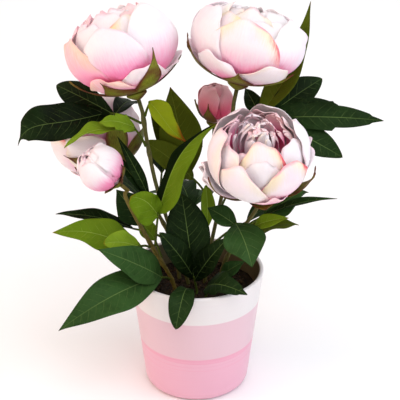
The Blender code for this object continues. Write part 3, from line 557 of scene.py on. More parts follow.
# The tint of each ring's petals, ring by ring from the guards inward
RING_TINTS = {
    # Bloom a's peach petals are those on its left, where their salmon is partly painted warm light
    "a": (("warm_lit_peach", "rosy", "white", "rosy"), ("white", "pink", "pale"), ("rosy", "warm_lit_peach"),
          ("yellow", "white", "pink", "pink", "rosy")),
    "b": (("rosy", "cream", "white", "white"), ("white", "pale", "white", "white"), ("flamed",),
          ("white", "blazing", "pale", "white", "pale")),
    "c": (("snow", "snow", "snow"), ("ivory", "flamed"), ("ivory", "snow", "snow", "snow"),
          ("snow",), ("ivory", "snow", "warm", "warm"), ("snow", "warm", "warm", "warm", "warm")),
    "d": (("cream", "pale", "pale"), ("cream", "white", "yellow", "rosy", "rosy"),
          ("white", "cream", "yellow", "rosy", "rosy")),
    "e": (("bud", "bud", "bud"),),
    "f": (("dusky", "dusky", "dusky"),),
}

# The colours of materials, all as screen values from 0 to 255. First the pot's: its three bands and its
# inside, brown and darkened with painted shade, each with two shades, and the lines and specks in its glaze
BAND_LOW = ((227, 172, 190), (221, 165, 184))
BAND_MIDDLE = ((220, 186, 195), (216, 181, 191))
BAND_HIGH = ((224, 218, 217), (219, 213, 213))
POT_INSIDE_BROWN_AND_SHADE = ((96, 86, 60), (70, 60, 36))
POT_LINE = (226, 138, 166)
POT_SPECK = (200, 160, 165)

# The glaze: how soft and wavy the edges of the bands are, the deeper ring at the top of the low band, the
# fine lines that strengthen from a height up to it and fade above, the specks, and the relief
BAND_BLUR = 0.5
BAND_WAVER = 0.6
RING_HEIGHT = 4.0
RING_SHADE = 0.36
LINES_FROM = 22.0
LINES_AT = (0.5, 0.68)
LINE_SHADES = (0.06, 0.5)
LINES_ABOVE = 0.04
SPECKS_AT = (0.66, 0.74)
SPECK_SHADE = 0.12
GRAIN_RELIEF = 0.08
STRATA_RELIEF = 0.25

# The soil in two shades with lighter fibres, how strongly those show, and the grains in its relief
SOIL_DARK = (24, 17, 10)
SOIL_LIGHT = (52, 38, 24)
SOIL_FIBRE = (92, 70, 44)
FIBRE_SHADE = 0.4
SOIL_GRAINS = 420.0
GRAINS_RELIEF = 0.7

# The stems, green to ochre, and the leaf stalks, all in two shades, and how far stems can darken
STEM_GREEN = ((56, 62, 20), (92, 90, 40))
STEM_OCHRE = ((92, 80, 24), (124, 106, 40))
STALK_COLOURS = ((56, 72, 24), (84, 96, 36))
STEM_DARKENING = 0.2

# Each kind of leaf: its base, its lighter parts, its ribs, the painted shade of its far half if it has one,
# and its worn tip
LEAF_COLOURS = {
    "dark": ((6, 15, 2), (52, 82, 38), (116, 142, 78), (16, 28, 8), (34, 44, 14)),
    "olive": ((44, 50, 2), (86, 98, 24), (112, 124, 44), (40, 48, 8), (96, 66, 10)),
    "light": ((82, 108, 16), (120, 146, 38), (156, 178, 80), (14, 24, 6), (116, 98, 16)),
}
LEAF_SPECULAR = {"dark": 0.05, "olive": 0.03, "light": 0.02}
LEAF_YELLOW = (128, 134, 16)
LEAF_BROWN = (122, 58, 14)

# The side veins of leaves: how they rise from the midrib, bend up, stray, lie apart and stand in turn on
# its two sides, and where they fade toward the edge. Then how broad they, the midrib and their net are.
VEIN_SLANT = 0.6
VEIN_CURVE = 2.4
VEIN_STRAYING = 0.09
VEIN_SPACING = 8.5
VEIN_STAGGER = 0.45
VEIN_FADE = (0.2, 0.46, 1.0, 0.1)
VEIN_BREADTH = 0.07
MIDRIB_BREADTH = (0.0008, 0.0055)
MIDRIB_FADE = (0.4, 1.0, 1.0, 0.3)
NET_BREADTH = 0.02

# How strongly veins, midribs and nets show in the colour, and how deep they and the mottles are
VEIN_SHADES = (0.02, 0.26)
MIDRIB_SHADES = (0.4, 0.7)
NET_SHADE = 0.04
VEIN_DEPTH = 0.6
NET_DEPTH = 0.12
MOTTLE_RELIEF = 0.35

# How much clouds, a leaf's lightness (partly painted light and shade) and mottles change its tone, and
# where worn and brown tips begin
CLOUD_TONES = (0.0, 0.3)
SHADE_TONE = 0.72
MOTTLE_SHADE = 0.3
TIP_RAGGEDNESS = 0.12
TIP_AT = (0.95, 1.08)
YELLOWING = 0.6
BROWN_AT = (0.66, 1.0)

# The noises in the materials: how fine, how detailed and how rough they are
Noise = namedtuple("Noise", "scale detail roughness", defaults=(2.0, 0.5))
NOISES = {
    "band edges": Noise(22.0), "glaze": Noise(14.0, 4.0), "inside": Noise(60.0, 5.0), "strata": Noise(1.0),
    "specks": Noise(420.0), "sheen": Noise(35.0, 3.0), "dents": Noise(50.0, 3.0), "grain": Noise(600.0),
    "soil": Noise(260.0, 6.0, 0.65), "stem streaks": Noise(9.0, 4.0), "ochre": Noise(28.0, 3.0),
    "straying": Noise(16.0, 3.0), "net": Noise(110.0, 3.0), "leaf": Noise(20.0, 4.0),
    "mottle": Noise(90.0, 4.0, 0.6), "weave": Noise(1500.0), "petal weave": Noise(1400.0),
    "petal streaks": Noise(5.0, 3.0), "fibres": Noise(11.0, 4.0), "petal": Noise(26.0, 4.0),
    "sepal streaks": Noise(6.0, 4.0), "sepal": Noise(60.0, 4.0), "floor": Noise(3.0, 4.0),
    "paper": Noise(300.0),
}

# How streaks and lines are squeezed along their axes
SQUEEZES = {
    "strata": (8.0, 8.0, 620.0), "stem streaks": (14.0, 2.5, 1.0), "petal streaks": (14.0, 1.6, 1.0),
    "fibres": (44.0, 2.2, 1.0), "sepal streaks": (26.0, 3.0, 1.0),
}

# The ranges over which most clouds and patches of noise change
CLOUDY = (0.3, 0.7)
PATCHY = (0.35, 0.7)

# How deep the weave is in the relief of leaves, and of petals and sepals
LEAF_WEAVE_RELIEF = 0.12
WEAVE_RELIEF = 0.15

# How rough each surface is at its smoothest and at its roughest
GLAZE_ROUGHNESS = (0.3, 0.42)
SOIL_ROUGHNESS = (0.82, 1.0)
STEM_ROUGHNESS = (0.5, 0.68)
LEAF_ROUGHNESS = {"dark": (0.42, 0.56), "olive": (0.5, 0.64), "light": (0.5, 0.64)}
PETAL_ROUGHNESS = (0.5, 0.64)
CALYX_ROUGHNESS = (0.48, 0.65)
PAPER_ROUGHNESS = (0.85, 0.95)

# How strong the relief of each surface is, and how deep in metres
GLAZE_BUMPS = (0.12, 0.0008)
SOIL_BUMPS = (0.9, 0.0012)
STEM_BUMPS = (0.35, 0.0006)
LEAF_BUMPS = (0.5, 0.0008)
PETAL_BUMPS = (0.5, 0.0007)
CALYX_BUMPS = (0.4, 0.0007)
PAPER_BUMPS = (0.03, 0.0005)

# The petals
PETAL_WHITE = (249, 242, 246)
PETAL_LAVENDER = (242, 227, 239)
PETAL_CREAM = (251, 240, 229)
PETAL_PINK = (254, 168, 204)
PETAL_DEEP = (253, 96, 154)
PETAL_YELLOW = (244, 224, 146)
PETAL_BLUSH = (252, 172, 176)
PETAL_EDGE = (248, 130, 160)
PETAL_FLAME = (244, 84, 112)
# The dusky bud's brownish pinks and crimson: partly its own deep colour, partly painted shade of its place
# behind the blooms
PETAL_DUSK_AND_SHADE = ((240, 200, 192), (222, 156, 160))
PETAL_CRIMSON = (206, 62, 92)

# How the patterns of petals stray, how far below and above its end the pink of the root fades and the deep
# pink in it, how strong the cream, the blush and the pink fibres are, and where yellow, edges, flames and
# the dusky bud's upper part lie. A rim or blush past its mark flames a petal or makes it dusky.
PETAL_STRAYING = 0.35
PINK_FADE = (0.28, 0.16)
DEEP_FADE = (0.5, 0.02)
CREAM_SHADE = 0.3
BLUSH_SHADES = (0.7, 1.1)
FIBRES_AT = (0.5, 0.72)
FIBRE_SHADES = (0.3, 0.95, 0.16, 0.03)
YELLOW_AT = (0.88, 1.3)
EDGE_AT = (0.455, 0.5)
EDGE_TIP_AT = (0.95, 1.0)
EDGE_SHADES = (0.38, 0.6, 0.1, 0.9)
FLAME_STRAYING = 1.2
FLAME_SIDE = (0.8, 0.95)
FLAME_RISE = (0.45, 0.75)
FLAMED_FROM = (0.85, 0.95, 0.0, 0.9)
DUSK_AT = (0.3, 0.95)
DUSKY_FROM = (0.9, 0.96, 0.0, 0.9)
FIBRE_RELIEF = 0.5

# The sepals, with how brown patches, edges and tips come in
CALYX_OLIVE = (92, 98, 14)
CALYX_GREEN = (136, 142, 36)
CALYX_BROWN = (92, 36, 14)
SEPAL_SHADE = 0.3
SEPAL_PATCHES = (0.52, 0.85, 0.0, 0.8)
SEPAL_EDGE_AT = (0.28, 0.46)
SEPAL_TIP_AT = (0.72, 0.95)
SEPAL_EDGE_SHADES = (0.3, 0.6, 0.4, 1.0)

# The floor, the sky's light and the lamps: each lamp's place and what it points at, in metres, then its
# side, power and colour
FLOOR_SIDE = 6.0
FLOOR_COLOURS = ((250, 250, 250), (247, 247, 247))
SKY_COLOUR = (1.0, 1.0, 1.0, 1.0)
SKY_STRENGTH = 0.53
LIGHTS = {
    "right": ((1.7, -0.7, 1.1), (0.0, 0.0, 0.2), 1.6, 19.0, (0.8, 0.86, 1.0)),
    "left": ((-1.8, -0.4, 0.9), (0.0, 0.0, 0.2), 1.6, 20.0, (1.0, 0.66, 0.48)),
    "top": ((0.0, -0.7, 1.9), (0.0, 0.0, 0.2), 1.2, 8.0, (1.0, 1.0, 1.0)),
    "front": ((0.3, -1.5, 1.7), (0.0, 0.0, 0.2), 1.2, 10.5, (1.0, 1.0, 1.0)),
    "behind": ((0.0, 1.9, 1.5), (0.0, 1.7, 0.0), 2.0, 14.0, (1.0, 1.0, 1.0)),
}


def linear(channels):
    """A colour for the renderer from its screen values."""
    parts = [channel / 255 for channel in channels]
    return (*[part / 12.92 if part <= 0.04045 else ((part + 0.055) / 1.055) ** 2.4 for part in parts], 1.0)


def as_point(values):
    """Three numbers as an array."""
    return np.array([float(value) for value in values])


def unit(vector):
    """The vector at length one."""
    return vector / np.linalg.norm(vector)


def reached(points):
    """How far along a line each of its points lies."""
    return np.concatenate([[0.0], np.cumsum(np.linalg.norm(np.diff(points, axis=0), axis=1))])


def spans(rows, columns):
    """For each point of a grid, how far across and along it lies, from 0 to 1."""
    side, place = np.meshgrid(np.linspace(0, 1, columns), np.linspace(0, 1, rows))
    return np.stack([side, place], axis=-1).reshape(-1, 2)


def sheet_faces(rows, columns):
    """Faces of a closed sheet whose upper side's points come first, then its lower side's."""
    upper = np.arange(rows * columns).reshape(rows, columns)
    low, high = upper[:-1], upper[1:]
    top = np.stack([low[:, :-1], low[:, 1:], high[:, 1:], high[:, :-1]], axis=-1).reshape(-1, 4)
    border = np.concatenate([upper[0, :-1], upper[:-1, -1], upper[-1, :0:-1], upper[:0:-1, 0]])
    after = np.roll(border, -1)
    offset = rows * columns
    rim = np.stack([border + offset, after + offset, after, border], axis=-1)
    return np.concatenate([top, top[:, ::-1] + offset, rim])


def turned_faces(rows, sides):
    """Faces between the rings of a turned grid."""
    index = np.arange(rows * sides).reshape(rows, sides)
    after = np.roll(index, -1, axis=1)
    return np.stack([index[:-1], after[:-1], after[1:], index[1:]], axis=-1).reshape(-1, 4)


def turned_grid(profile, sides):
    """Points of a profile turned about Z, row by row."""
    turns = np.linspace(0, math.tau, sides, endpoint=False)
    radius, height = np.array(profile).T
    return np.stack([np.outer(radius, np.cos(turns)), np.outer(radius, np.sin(turns)),
                     np.outer(height, np.ones(sides))], axis=-1)


class Stock:
    """Collects the sheets, rods and turned forms of one piece, all made of four-sided faces."""

    def __init__(self):
        self.shapes = []
        self.count = 0

    def add(self, points, faces, span, cloth, tint):
        """Adds a shape. span runs 0 to 1 across and along it, cloth measures the same on its surface."""
        tints = np.broadcast_to(np.array(tint, dtype=float), (len(points), 4))
        self.shapes.append((points, faces + self.count, span, cloth, tints))
        self.count += len(points)

    def sheet(self, grid, thickness, tint, inner_tint=None, shift=0.0):
        """Adds a thin closed sheet around a grid of middle points, thinned to half at its border."""
        rows, columns = grid.shape[:2]
        normal = np.cross(np.gradient(grid, axis=1), np.gradient(grid, axis=0))
        normal /= np.linalg.norm(normal, axis=-1, keepdims=True) + LEAST_LENGTH
        half = np.full((rows, columns, 1), thickness / 4)
        half[1:-1, 1:-1] = thickness / 2
        points = np.concatenate([grid + normal * half, grid - normal * half]).reshape(-1, 3)
        wide = np.array([reached(row) for row in grid])
        wide -= wide[:, columns // 2, None]
        tall = np.repeat(reached(grid[:, columns // 2])[:, None], columns, axis=1)
        cloth = np.stack([wide / CLOTH_UNIT + 0.5 + shift, tall / CLOTH_UNIT + shift], axis=-1)
        upper = np.broadcast_to(np.array(tint, dtype=float), (rows, columns, 4)).reshape(-1, 4)
        lower = upper if inner_tint is None else np.tile(np.array(inner_tint), (rows * columns, 1))
        self.add(points, sheet_faces(rows, columns), np.tile(spans(rows, columns), (2, 1)),
                 np.tile(cloth.reshape(-1, 2), (2, 1)), np.concatenate([upper, lower]))

    def rod(self, route, radii, sides, tint, shift=0.0):
        """Adds a round rod along a route, its ends filled."""
        route = np.array(route)
        ahead = np.gradient(route, axis=0)
        ahead /= np.linalg.norm(ahead, axis=1, keepdims=True)
        turns = np.linspace(0, math.tau, sides, endpoint=False)
        side = np.array([1.0, 0.0, 0.0])
        rings = []
        for place, forward, radius in zip(route, ahead, radii):
            side = unit(side - forward * side.dot(forward))
            other = np.cross(forward, side)
            rings.append(place + radius * (np.outer(np.cos(turns), side) + np.outer(np.sin(turns), other)))
        count = len(rings)
        steps = np.arange(sides // 2 - 1)
        cap = np.stack([steps, steps + 1, sides - 2 - steps, (sides - 1 - steps) % sides], axis=-1)
        faces = np.concatenate([turned_faces(count, sides), cap[:, ::-1], cap + (count - 1) * sides])
        span = spans(count, sides)
        far = np.repeat(reached(route), sides)
        cloth = np.stack([span[:, 0] / ROD_WRAP + 0.5 + shift, far / CLOTH_UNIT + shift], axis=-1)
        self.add(np.concatenate(rings), faces, span, cloth, tint)

    def turned(self, grid, tint, span=None):
        """Adds a turned form, given by its rings of points from axis to axis."""
        rows, sides = grid.shape[:2]
        span = spans(rows, sides) if span is None else span
        self.add(grid.reshape(-1, 3), turned_faces(rows, sides), span, span, tint)

    def made(self, node, material, slot):
        """The collected shapes as one fine piece in the place of its CAD node."""
        points, faces, span, cloth, tints = [np.concatenate(parts) for parts in zip(*self.shapes)]
        corners = faces.ravel()
        mesh = bpy.data.meshes.new("fine_" + node)
        mesh.vertices.add(len(points))
        mesh.vertices.foreach_set("co", (points * MM).astype(np.float32).ravel())
        mesh.loops.add(len(corners))
        mesh.loops.foreach_set("vertex_index", corners.astype(np.int32))
        mesh.polygons.add(len(faces))
        mesh.polygons.foreach_set("loop_start", np.arange(0, len(corners), 4, dtype=np.int32))
        mesh.update(calc_edges=True)
        for layer, values in (("Span", span), ("Cloth", cloth)):
            uv_map = mesh.uv_layers.new(name=layer)
            uv_map.uv.foreach_set("vector", values[corners].astype(np.float32).ravel())
        shade = mesh.attributes.new("tint", "FLOAT_COLOR", "POINT")
        shade.data.foreach_set("color", tints.astype(np.float32).ravel())
        mesh.materials.append(material)
        mesh.shade_smooth()
        item = bpy.data.objects.new("fine_" + node, mesh)
        bpy.context.scene.collection.objects.link(item)
        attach(item, "root")
        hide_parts(node)


def curve_point(corners, place):
    """A point on the smooth curve through the corners, where place counts corners."""
    span = min(int(place), len(corners) - 2)
    part = place - span
    start, end = corners[span], corners[span + 1]
    before = corners[span - 1] if span > 0 else start * 2 - end
    after = corners[span + 2] if span + 2 < len(corners) else end * 2 - start
    square, cube = part * part, part * part * part
    return (start * (2 * cube - 3 * square + 1) + (end - before) / 2 * (cube - 2 * square + part)
            + end * (3 * square - 2 * cube) + (after - start) / 2 * (cube - square))


def smooth_route(corners, step):
    """Points about one step apart on the smooth curve through the corners."""
    corners = [as_point(corner) for corner in corners]
    places = range(CURVE_PARTS * (len(corners) - 1) + 1)
    fine = np.array([curve_point(corners, place / CURVE_PARTS) for place in places])
    far = reached(fine)
    wanted = np.linspace(0, far[-1], max(2, round(far[-1] / step)) + 1)
    return [np.array([np.interp(place, far, fine[:, axis]) for axis in range(3)]) for place in wanted]


def stem_corners(name):
    """A stem's corners from its planted foot to the underside of its flower."""
    foot, *above = STEM_ROUTES[name]
    flower = FLOWERS[name[-1]]
    head, axis = as_point(flower.head), unit(as_point(flower.axis))
    return [(*foot, PLANTED_FROM), (*foot, SOIL_TOP), *above, head - axis * HEAD_RUN, head - axis * GAP]


def make_stem(name, material):
    """A stem with small swellings where its leaves part."""
    draw = random.Random(name)
    corners = stem_corners(name)
    route = [as_point(corners[0])] + smooth_route(corners[1:-1], STEM_STEP) + [as_point(corners[-1])]
    heights = [leaf.height for leaf in LEAVES.values() if leaf.stem == name]
    radii = []
    for place in route:
        swelling = sum(math.exp(-((place[2] - height) / STEM_KNOT_LENGTH) ** 2) for height in heights)
        radii.append(STEM_RADIUS * (STEM_SLIMMER + STEM_KNOT * min(1.0, swelling)))
    stock = Stock()
    stock.rod(route, radii, STEM_SIDES, (*STEM_TINTS[name], 0.0, 0.0), draw.random())
    stock.made(name, material, "stem")


def on_stem(name, height):
    """The point of a stem's middle line at a height, and its direction there."""
    route = smooth_route(stem_corners(name), SEAT_STEP)
    for start, end in zip(route, route[1:]):
        if end[2] >= height:
            return start, unit(end - start)
    return route[-1], unit(route[-1] - route[-2])


def stalk_route(leaf):
    """A leaf stalk's route from its seat on a stem, or from the soil, to its blades."""
    knuckle = as_point(leaf.knuckle)
    if leaf.stem == "soil":
        x, y = leaf.height
        straight = SOIL_TOP + SOIL_RELIEF + STALK_CLEAR
        corners = [(x, y, straight - STALK_STRAIGHT), (x, y, straight), knuckle]
        return [as_point((x, y, PLANTED_FROM))] + smooth_route(corners, STALK_STEP)
    seat, up = on_stem(leaf.stem, leaf.height)
    away = knuckle - seat
    bend = seat + away / 2 + np.array([0.0, 0.0, STALK_ARCH * np.linalg.norm(away)])
    first = unit(bend - seat)
    level = abs(first.dot(up))
    slope = max(LEAST_SLOPE, math.sqrt(1 - min(1.0, level) ** 2))
    off = (STEM_RADIUS + GAP + STALK_RADIUS * level) / slope
    return smooth_route([seat + first * off, bend, knuckle], STALK_STEP)


def leaflet_half_width(width, place, outline):
    """The half width of a leaflet at parts of its length."""
    body = np.sin(np.pi * np.clip(place, 0, 1) ** outline.skew) ** outline.fullness
    body = body * (1 + outline.teeth * ((LEAF_TEETH * place) % 1 - TOOTH_BITE) * (place > TEETH_FROM))
    if outline.hook:
        body = body * (1 - HOOK_NARROWING * np.clip((place - HOOK_FROM) / HOOK_RUN, 0, 1))
    return LEAF_ROOT_HALF * (1 - place) + (width / 2) * body + LEAF_TIP_HALF


def blade_grid(root, blade, outline, draw):
    """Middle points of an arched, gently waved leaf blade."""
    tip = as_point(blade.tip)
    length = np.linalg.norm(tip - root)
    along = unit(tip - root)
    facing = as_point(blade.facing)
    facing = unit(facing - along * facing.dot(along))
    across = np.cross(along, facing)
    middle = (root + tip) / 2 + facing * (2 * blade.bow)
    start = root - unit(middle - root) * LEAF_ROOT_SUNK
    place = 1 - (1 - np.linspace(0, 1, LEAF_ROWS)[:, None]) ** LEAF_CROWDING
    side = np.linspace(-1, 1, LEAF_COLUMNS)[None, :]
    half = leaflet_half_width(blade.width, place, outline) * np.where(side < 0, outline.left, outline.right)
    reach = (place + LEAF_EDGE_LEAN * (1 - place) * half / length * side ** 2)[..., None]
    rib = start * (1 - reach) ** 2 + middle * (2 * reach * (1 - reach)) + tip * reach ** 2
    aside = outline.sway * np.sin(np.pi * place ** 1.4) + outline.hook * place ** 3 * (1 - place ** 4)
    waves = draw.uniform(*LEAF_WAVES)
    shift = np.where(side < 0, draw.uniform(0, math.tau), draw.uniform(0, math.tau))
    turn = shift + math.tau * waves * place
    waving = (LEAF_WAVE + abs(outline.sway) / 2) * blade.width * np.sin(np.pi * place) ** 0.5
    groove = LEAF_GROOVE * np.exp(-(side * half / LEAF_GROOVE_HALF) ** 2)
    fold = (blade.fold + LEAF_FOLD) * half * np.abs(side) ** 1.2
    rise = fold + waving * side ** 2 * np.sin(turn) - groove
    return rib + across * (length * aside + half * side)[..., None] + facing * rise[..., None]


def leaflets(root, blade, outline):
    """The fine leaflets that stand for one blade of the solids: a lobed blade is made of several."""
    if blade.form not in LEAFLET_FANS:
        return [(blade, OUTLINES[outline])]
    along = as_point(blade.tip) - root
    across = unit(np.cross(along, as_point(blade.facing)))
    made = []
    for reach, out, width, bow, lobe in LEAFLET_FANS[blade.form]:
        end = root + along * reach + across * (out * blade.width / 2)
        leaflet = Blade(end, width * blade.width, blade.facing, blade.bow * bow, blade.fold)
        made.append((leaflet, OUTLINES[lobe]))
    return made


def make_leaf(name, leaf, material):
    """A leaf: a stalk with its blades at its end."""
    draw = random.Random(name)
    route = stalk_route(leaf)
    radii = np.linspace(STALK_RADIUS * STALK_TAPER[0], STALK_RADIUS * STALK_TAPER[1], len(route))
    stock = Stock()
    stock.rod(route, radii, STALK_SIDES, STALK_TINT, draw.random())
    back = unit(route[-2] - route[-1])
    outlines = LEAF_OUTLINES.get(name, ("plain",) * len(leaf.blades))
    for number, (given, outline) in enumerate(zip(leaf.blades, outlines)):
        blade = Blade(*given)
        behind = unit(as_point(blade.facing)) * (-LEAFLET_BEHIND if number else 0.0)
        root = route[-1] + back * (LEAFLET_STEP * number) + behind
        for leaflet, form in leaflets(root, blade, outline):
            # The leaf's lightness, partly its own tone and partly painted light and shade
            shade = LEAF_LIGHTNESS_AND_PAINTED_LIGHT.get(name, draw.random())
            shade += draw.uniform(-LEAF_SHADE_SPREAD, LEAF_SHADE_SPREAD)
            tint = np.zeros((LEAF_ROWS, LEAF_COLUMNS, 4))
            tint[..., 0] = min(1.0, max(0.0, shade))
            # Painted shade: the far half of the first blade is dark on both of its faces
            tint[:, :LEAF_COLUMNS // 2, 1] = float(name in SHADED_HALF_LEAVES and number == 0)
            tint[..., 3] = float(name in BROWNED)
            stock.sheet(blade_grid(root, leaflet, form, draw), LEAF_THICKNESS, tint)
    stock.made(name, material, "leaf_" + leaf.colour)


def stood(grid, flower):
    """Points given in a flower's own frame, stood at its head with its X to the right and its axis as Z."""
    up = unit(as_point(flower.axis))
    away = unit(np.cross(up, np.array([1.0, 0.0, 0.0])))
    return grid @ np.stack([np.cross(away, up), away, up]) + as_point(flower.head)


def petal_half_width(width, place):
    """A petal's half width at parts of its length: widest past its middle, and blunt at its tip."""
    grown = np.sin(np.pi / 2 * np.minimum(1.0, place / PETAL_WIDEST))
    past = np.maximum(0.0, place - PETAL_WIDEST) / PETAL_TIP_REACH
    return width / 2 * (PETAL_ROOT_WIDTH + (1 - PETAL_ROOT_WIDTH) * grown) * np.sqrt(1 - past * past)


def sepal_half_width(width, place):
    """A sepal's half width at parts of its length: it tapers to a point."""
    swelling = np.sin(np.pi * np.minimum(1.0, place ** SEPAL_SKEW))
    swelling = SEPAL_ROOT_WIDTH + (1 - SEPAL_ROOT_WIDTH) * swelling
    return width / 2 * swelling * (1 - place ** 3) + SEPAL_TIP_HALF


def cup_grid(flower, petal, half_width, draw, rows, columns):
    """Middle points of a petal or sepal on its flower's cup."""
    place = np.linspace(0, 1, rows)[:, None]
    side = np.linspace(-1, 1, columns)[None, :]
    inside = 1 - side ** 2
    outer = flower.radius - petal.inset
    tall = flower.height - petal.lowering * petal.inset
    start = math.asin(min(PETAL_ROOT_STEEPEST, PETAL_ROOT_RADIUS / outer))
    frill = draw.uniform(0, math.tau)
    nibble = NIBBLE_DEPTH * petal.ruffle * np.sin(NIBBLES * side + frill) * place ** 4
    reach = place * (1 - PETAL_TIP_ROUNDING * side ** 2 * place) + nibble * inside
    wrap = start + (math.radians(petal.closing) - start) * reach
    shift = np.where(side < 0, draw.uniform(0, math.tau), draw.uniform(0, math.tau))
    edge = np.sin(shift + math.tau * draw.uniform(*PETAL_WAVES) * place)
    top = np.sin(math.tau * draw.uniform(*PETAL_TIP_WAVES) * side + draw.uniform(0, math.tau))
    crimp = np.sin(TIP_CRIMPS * side + frill) * place ** 6
    crimp = crimp + SIDE_CRIMP * np.sin(SIDE_CRIMPS * side - frill) * place * (1 - place)
    ruffle = edge * place ** 1.5 * side ** 2 + TIP_RUFFLE * top * place ** 5 + CRIMPED * crimp
    belly = petal.belly * inside * np.sin(np.pi * place) ** 0.8
    twist = petal.twist * side * np.minimum(1.0, place / PETAL_TWIST_FROM)
    lift = twist + belly + petal.ruffle * ruffle + petal.flare * place ** 3
    radius = (outer + lift) * np.sin(wrap)
    height = flower.lift + flower.height - (tall + TWIST_LOWERING * lift) * np.cos(wrap)
    half = half_width(petal.width, place)
    turn = math.radians(petal.angle) + side * half / np.maximum(radius, PETAL_LEAST_RADIUS)
    return stood(np.stack([radius * np.cos(turn), radius * np.sin(turn), height], axis=-1), flower)


def flower_petals(letter, flower):
    """All petals of a flower: those of its solid with the solid's own spreads, then the finer ones."""
    same = random.Random(letter)
    draw = random.Random("fine " + letter)
    known = list(FIRST_TINTS.get(letter, ()))
    petals = []
    for (angles, inset, width, closing, twist), names in zip(flower.rings, RING_TINTS[letter]):
        guard = inset < 0
        for angle, name in zip(angles, names):
            closes = closing + same.uniform(-CLOSING_SPREAD, CLOSING_SPREAD)
            broad = width * same.uniform(*WIDTH_SPREAD) * (GUARD_BROADER if guard else 1.0)
            ruffle, flare = (GUARD_RUFFLE, GUARD_FLARE) if guard else (PETAL_RUFFLE, 0.0)
            petals.append(Petal(angle, inset, broad, closes, twist, width * PETAL_BELLY, ruffle, flare,
                                INNER_LOWERING, TINTS[name]))
    for angles, inset, width, closing, twist in INNER_RINGS[letter]:
        for angle in angles:
            closes = closing + draw.uniform(-INNER_CLOSING_SPREAD, INNER_CLOSING_SPREAD)
            broad = width * draw.uniform(*INNER_WIDTH_SPREAD)
            name = draw.choice(INNER_TINTS[letter])
            if len(angles) == 1:
                name = known.pop(0)
            turned = angle + draw.uniform(-INNER_TURN_SPREAD, INNER_TURN_SPREAD)
            lowering = INNER_RISE + draw.uniform(-INNER_RISE_SPREAD, INNER_RISE_SPREAD)
            petals.append(Petal(turned, inset, broad, closes, twist, width * PETAL_BELLY, INNER_RUFFLE, 0.0,
                                lowering, TINTS[name]))
    return petals


def petaloid_grid(flower, angle, root_radius, reach, length, width, draw):
    """Middle points of one narrow petal that stands in a bloom's centre."""
    place = 1 - (1 - np.linspace(0, 1, PETALOID_ROWS)[:, None]) ** PETALOID_CROWDING
    side = np.linspace(-1, 1, PETALOID_COLUMNS)[None, :]
    grown = np.sin(np.pi / 2 * np.minimum(1, place / PETALOID_WIDEST))
    grown = PETALOID_ROOT_WIDTH + (1 - PETALOID_ROOT_WIDTH) * grown
    half = width / 2 * grown * np.sqrt(PETALOID_BLUNTNESS - place ** 6)
    turn = math.radians(angle)
    curl = draw.uniform(*PETALOID_CURL) * length
    cupped = PETALOID_CUP * width * side ** 2 * place
    out = root_radius + reach * place ** 1.6 - curl * place ** 4 - cupped
    aside = side * half + draw.uniform(-PETALOID_SWAY, PETALOID_SWAY) * length * place ** 2
    rise = length * place * (1 - PETALOID_SQUATNESS * place)
    height = flower.lift + flower.height - PETALOID_SINK + np.broadcast_to(rise, out.shape)
    right = math.cos(turn) * out - math.sin(turn) * aside
    back = math.sin(turn) * out + math.cos(turn) * aside
    return stood(np.stack([right, back, height], axis=-1), flower)


def add_petaloids(stock, letter, flower):
    """Adds the crowd of narrow petals in a bloom's centre, pinker toward one side."""
    draw = random.Random("centre " + letter)
    for count, root_radius, reach, length, width in PETALOIDS[letter]:
        opening = PETALOID_OPENING * (root_radius - PETALOID_ROUND_TO)
        for number in range(count):
            scattered = number + draw.uniform(-PETALOID_SCATTER, PETALOID_SCATTER)
            angle = 360 * scattered / count + PETALOID_RING_TURN * root_radius
            if opening > 0 and math.sin(math.radians(angle)) < opening:
                continue
            tall = length * draw.uniform(*PETALOID_TALLNESS)
            broad = width * draw.uniform(*PETALOID_BREADTH)
            grid = petaloid_grid(flower, angle, root_radius, reach, tall, broad, draw)
            flushed = math.cos(math.radians(angle - PETALOID_FLUSH_AT)) > PETALOID_FLUSH_FROM
            tint = TINTS[draw.choice(PETALOID_TINTS[flushed])]
            stock.sheet(grid, PETAL_THICKNESS, tint, shift=draw.random())


def core_grid(flower, scale):
    """The core that the petals grow out of: a neck that widens to a dome, hidden between them."""
    radius = NECK_RADIUS * scale
    wide = CORE_SHRINK * flower.core
    tall = flower.lift + flower.height + (BUD_CORE_RISE * flower.height if scale < 1 else 0.0)
    neck = CALYX_TOP + GAP
    shoulder = neck + NECK_LENGTH
    profile = [(AXIS_RADIUS, neck), (radius - NECK_ROUNDING, neck), (radius, neck + NECK_ROUNDING),
               (radius + NECK_WIDENING, shoulder)]
    for angle in CORE_ARC:
        turn = math.radians(angle)
        profile.append((wide * math.cos(turn), shoulder + (tall - shoulder) / 2 * (1 + math.sin(turn))))
    return stood(turned_grid(profile + [(AXIS_RADIUS, tall)], CORE_SIDES), flower)


def make_flower(letter, flower, material):
    """A bloom or a bud, petal by petal."""
    draw = random.Random("petals " + letter)
    bud = letter in BUDS
    stock = Stock()
    stock.turned(core_grid(flower, BUD_SCALE if bud else 1.0), CORE_TINT)
    for petal in flower_petals(letter, flower):
        fineness = (PETAL_ROWS, PETAL_COLUMNS) if petal.inset < INNER_FROM else (INNER_ROWS, INNER_COLUMNS)
        grid = cup_grid(flower, petal, petal_half_width, draw, *fineness)
        pink, yellow, blush, rim = petal.tint
        inner = (pink - INNER_ROOT, yellow, min(1.0, blush + INNER_BLUSH), rim)
        stock.sheet(grid, PETAL_THICKNESS, petal.tint, inner, draw.random())
    if letter in PETALOIDS:
        add_petaloids(stock, letter, flower)
    stock.made(("bud_" if bud else "bloom_") + letter, material, "petal")


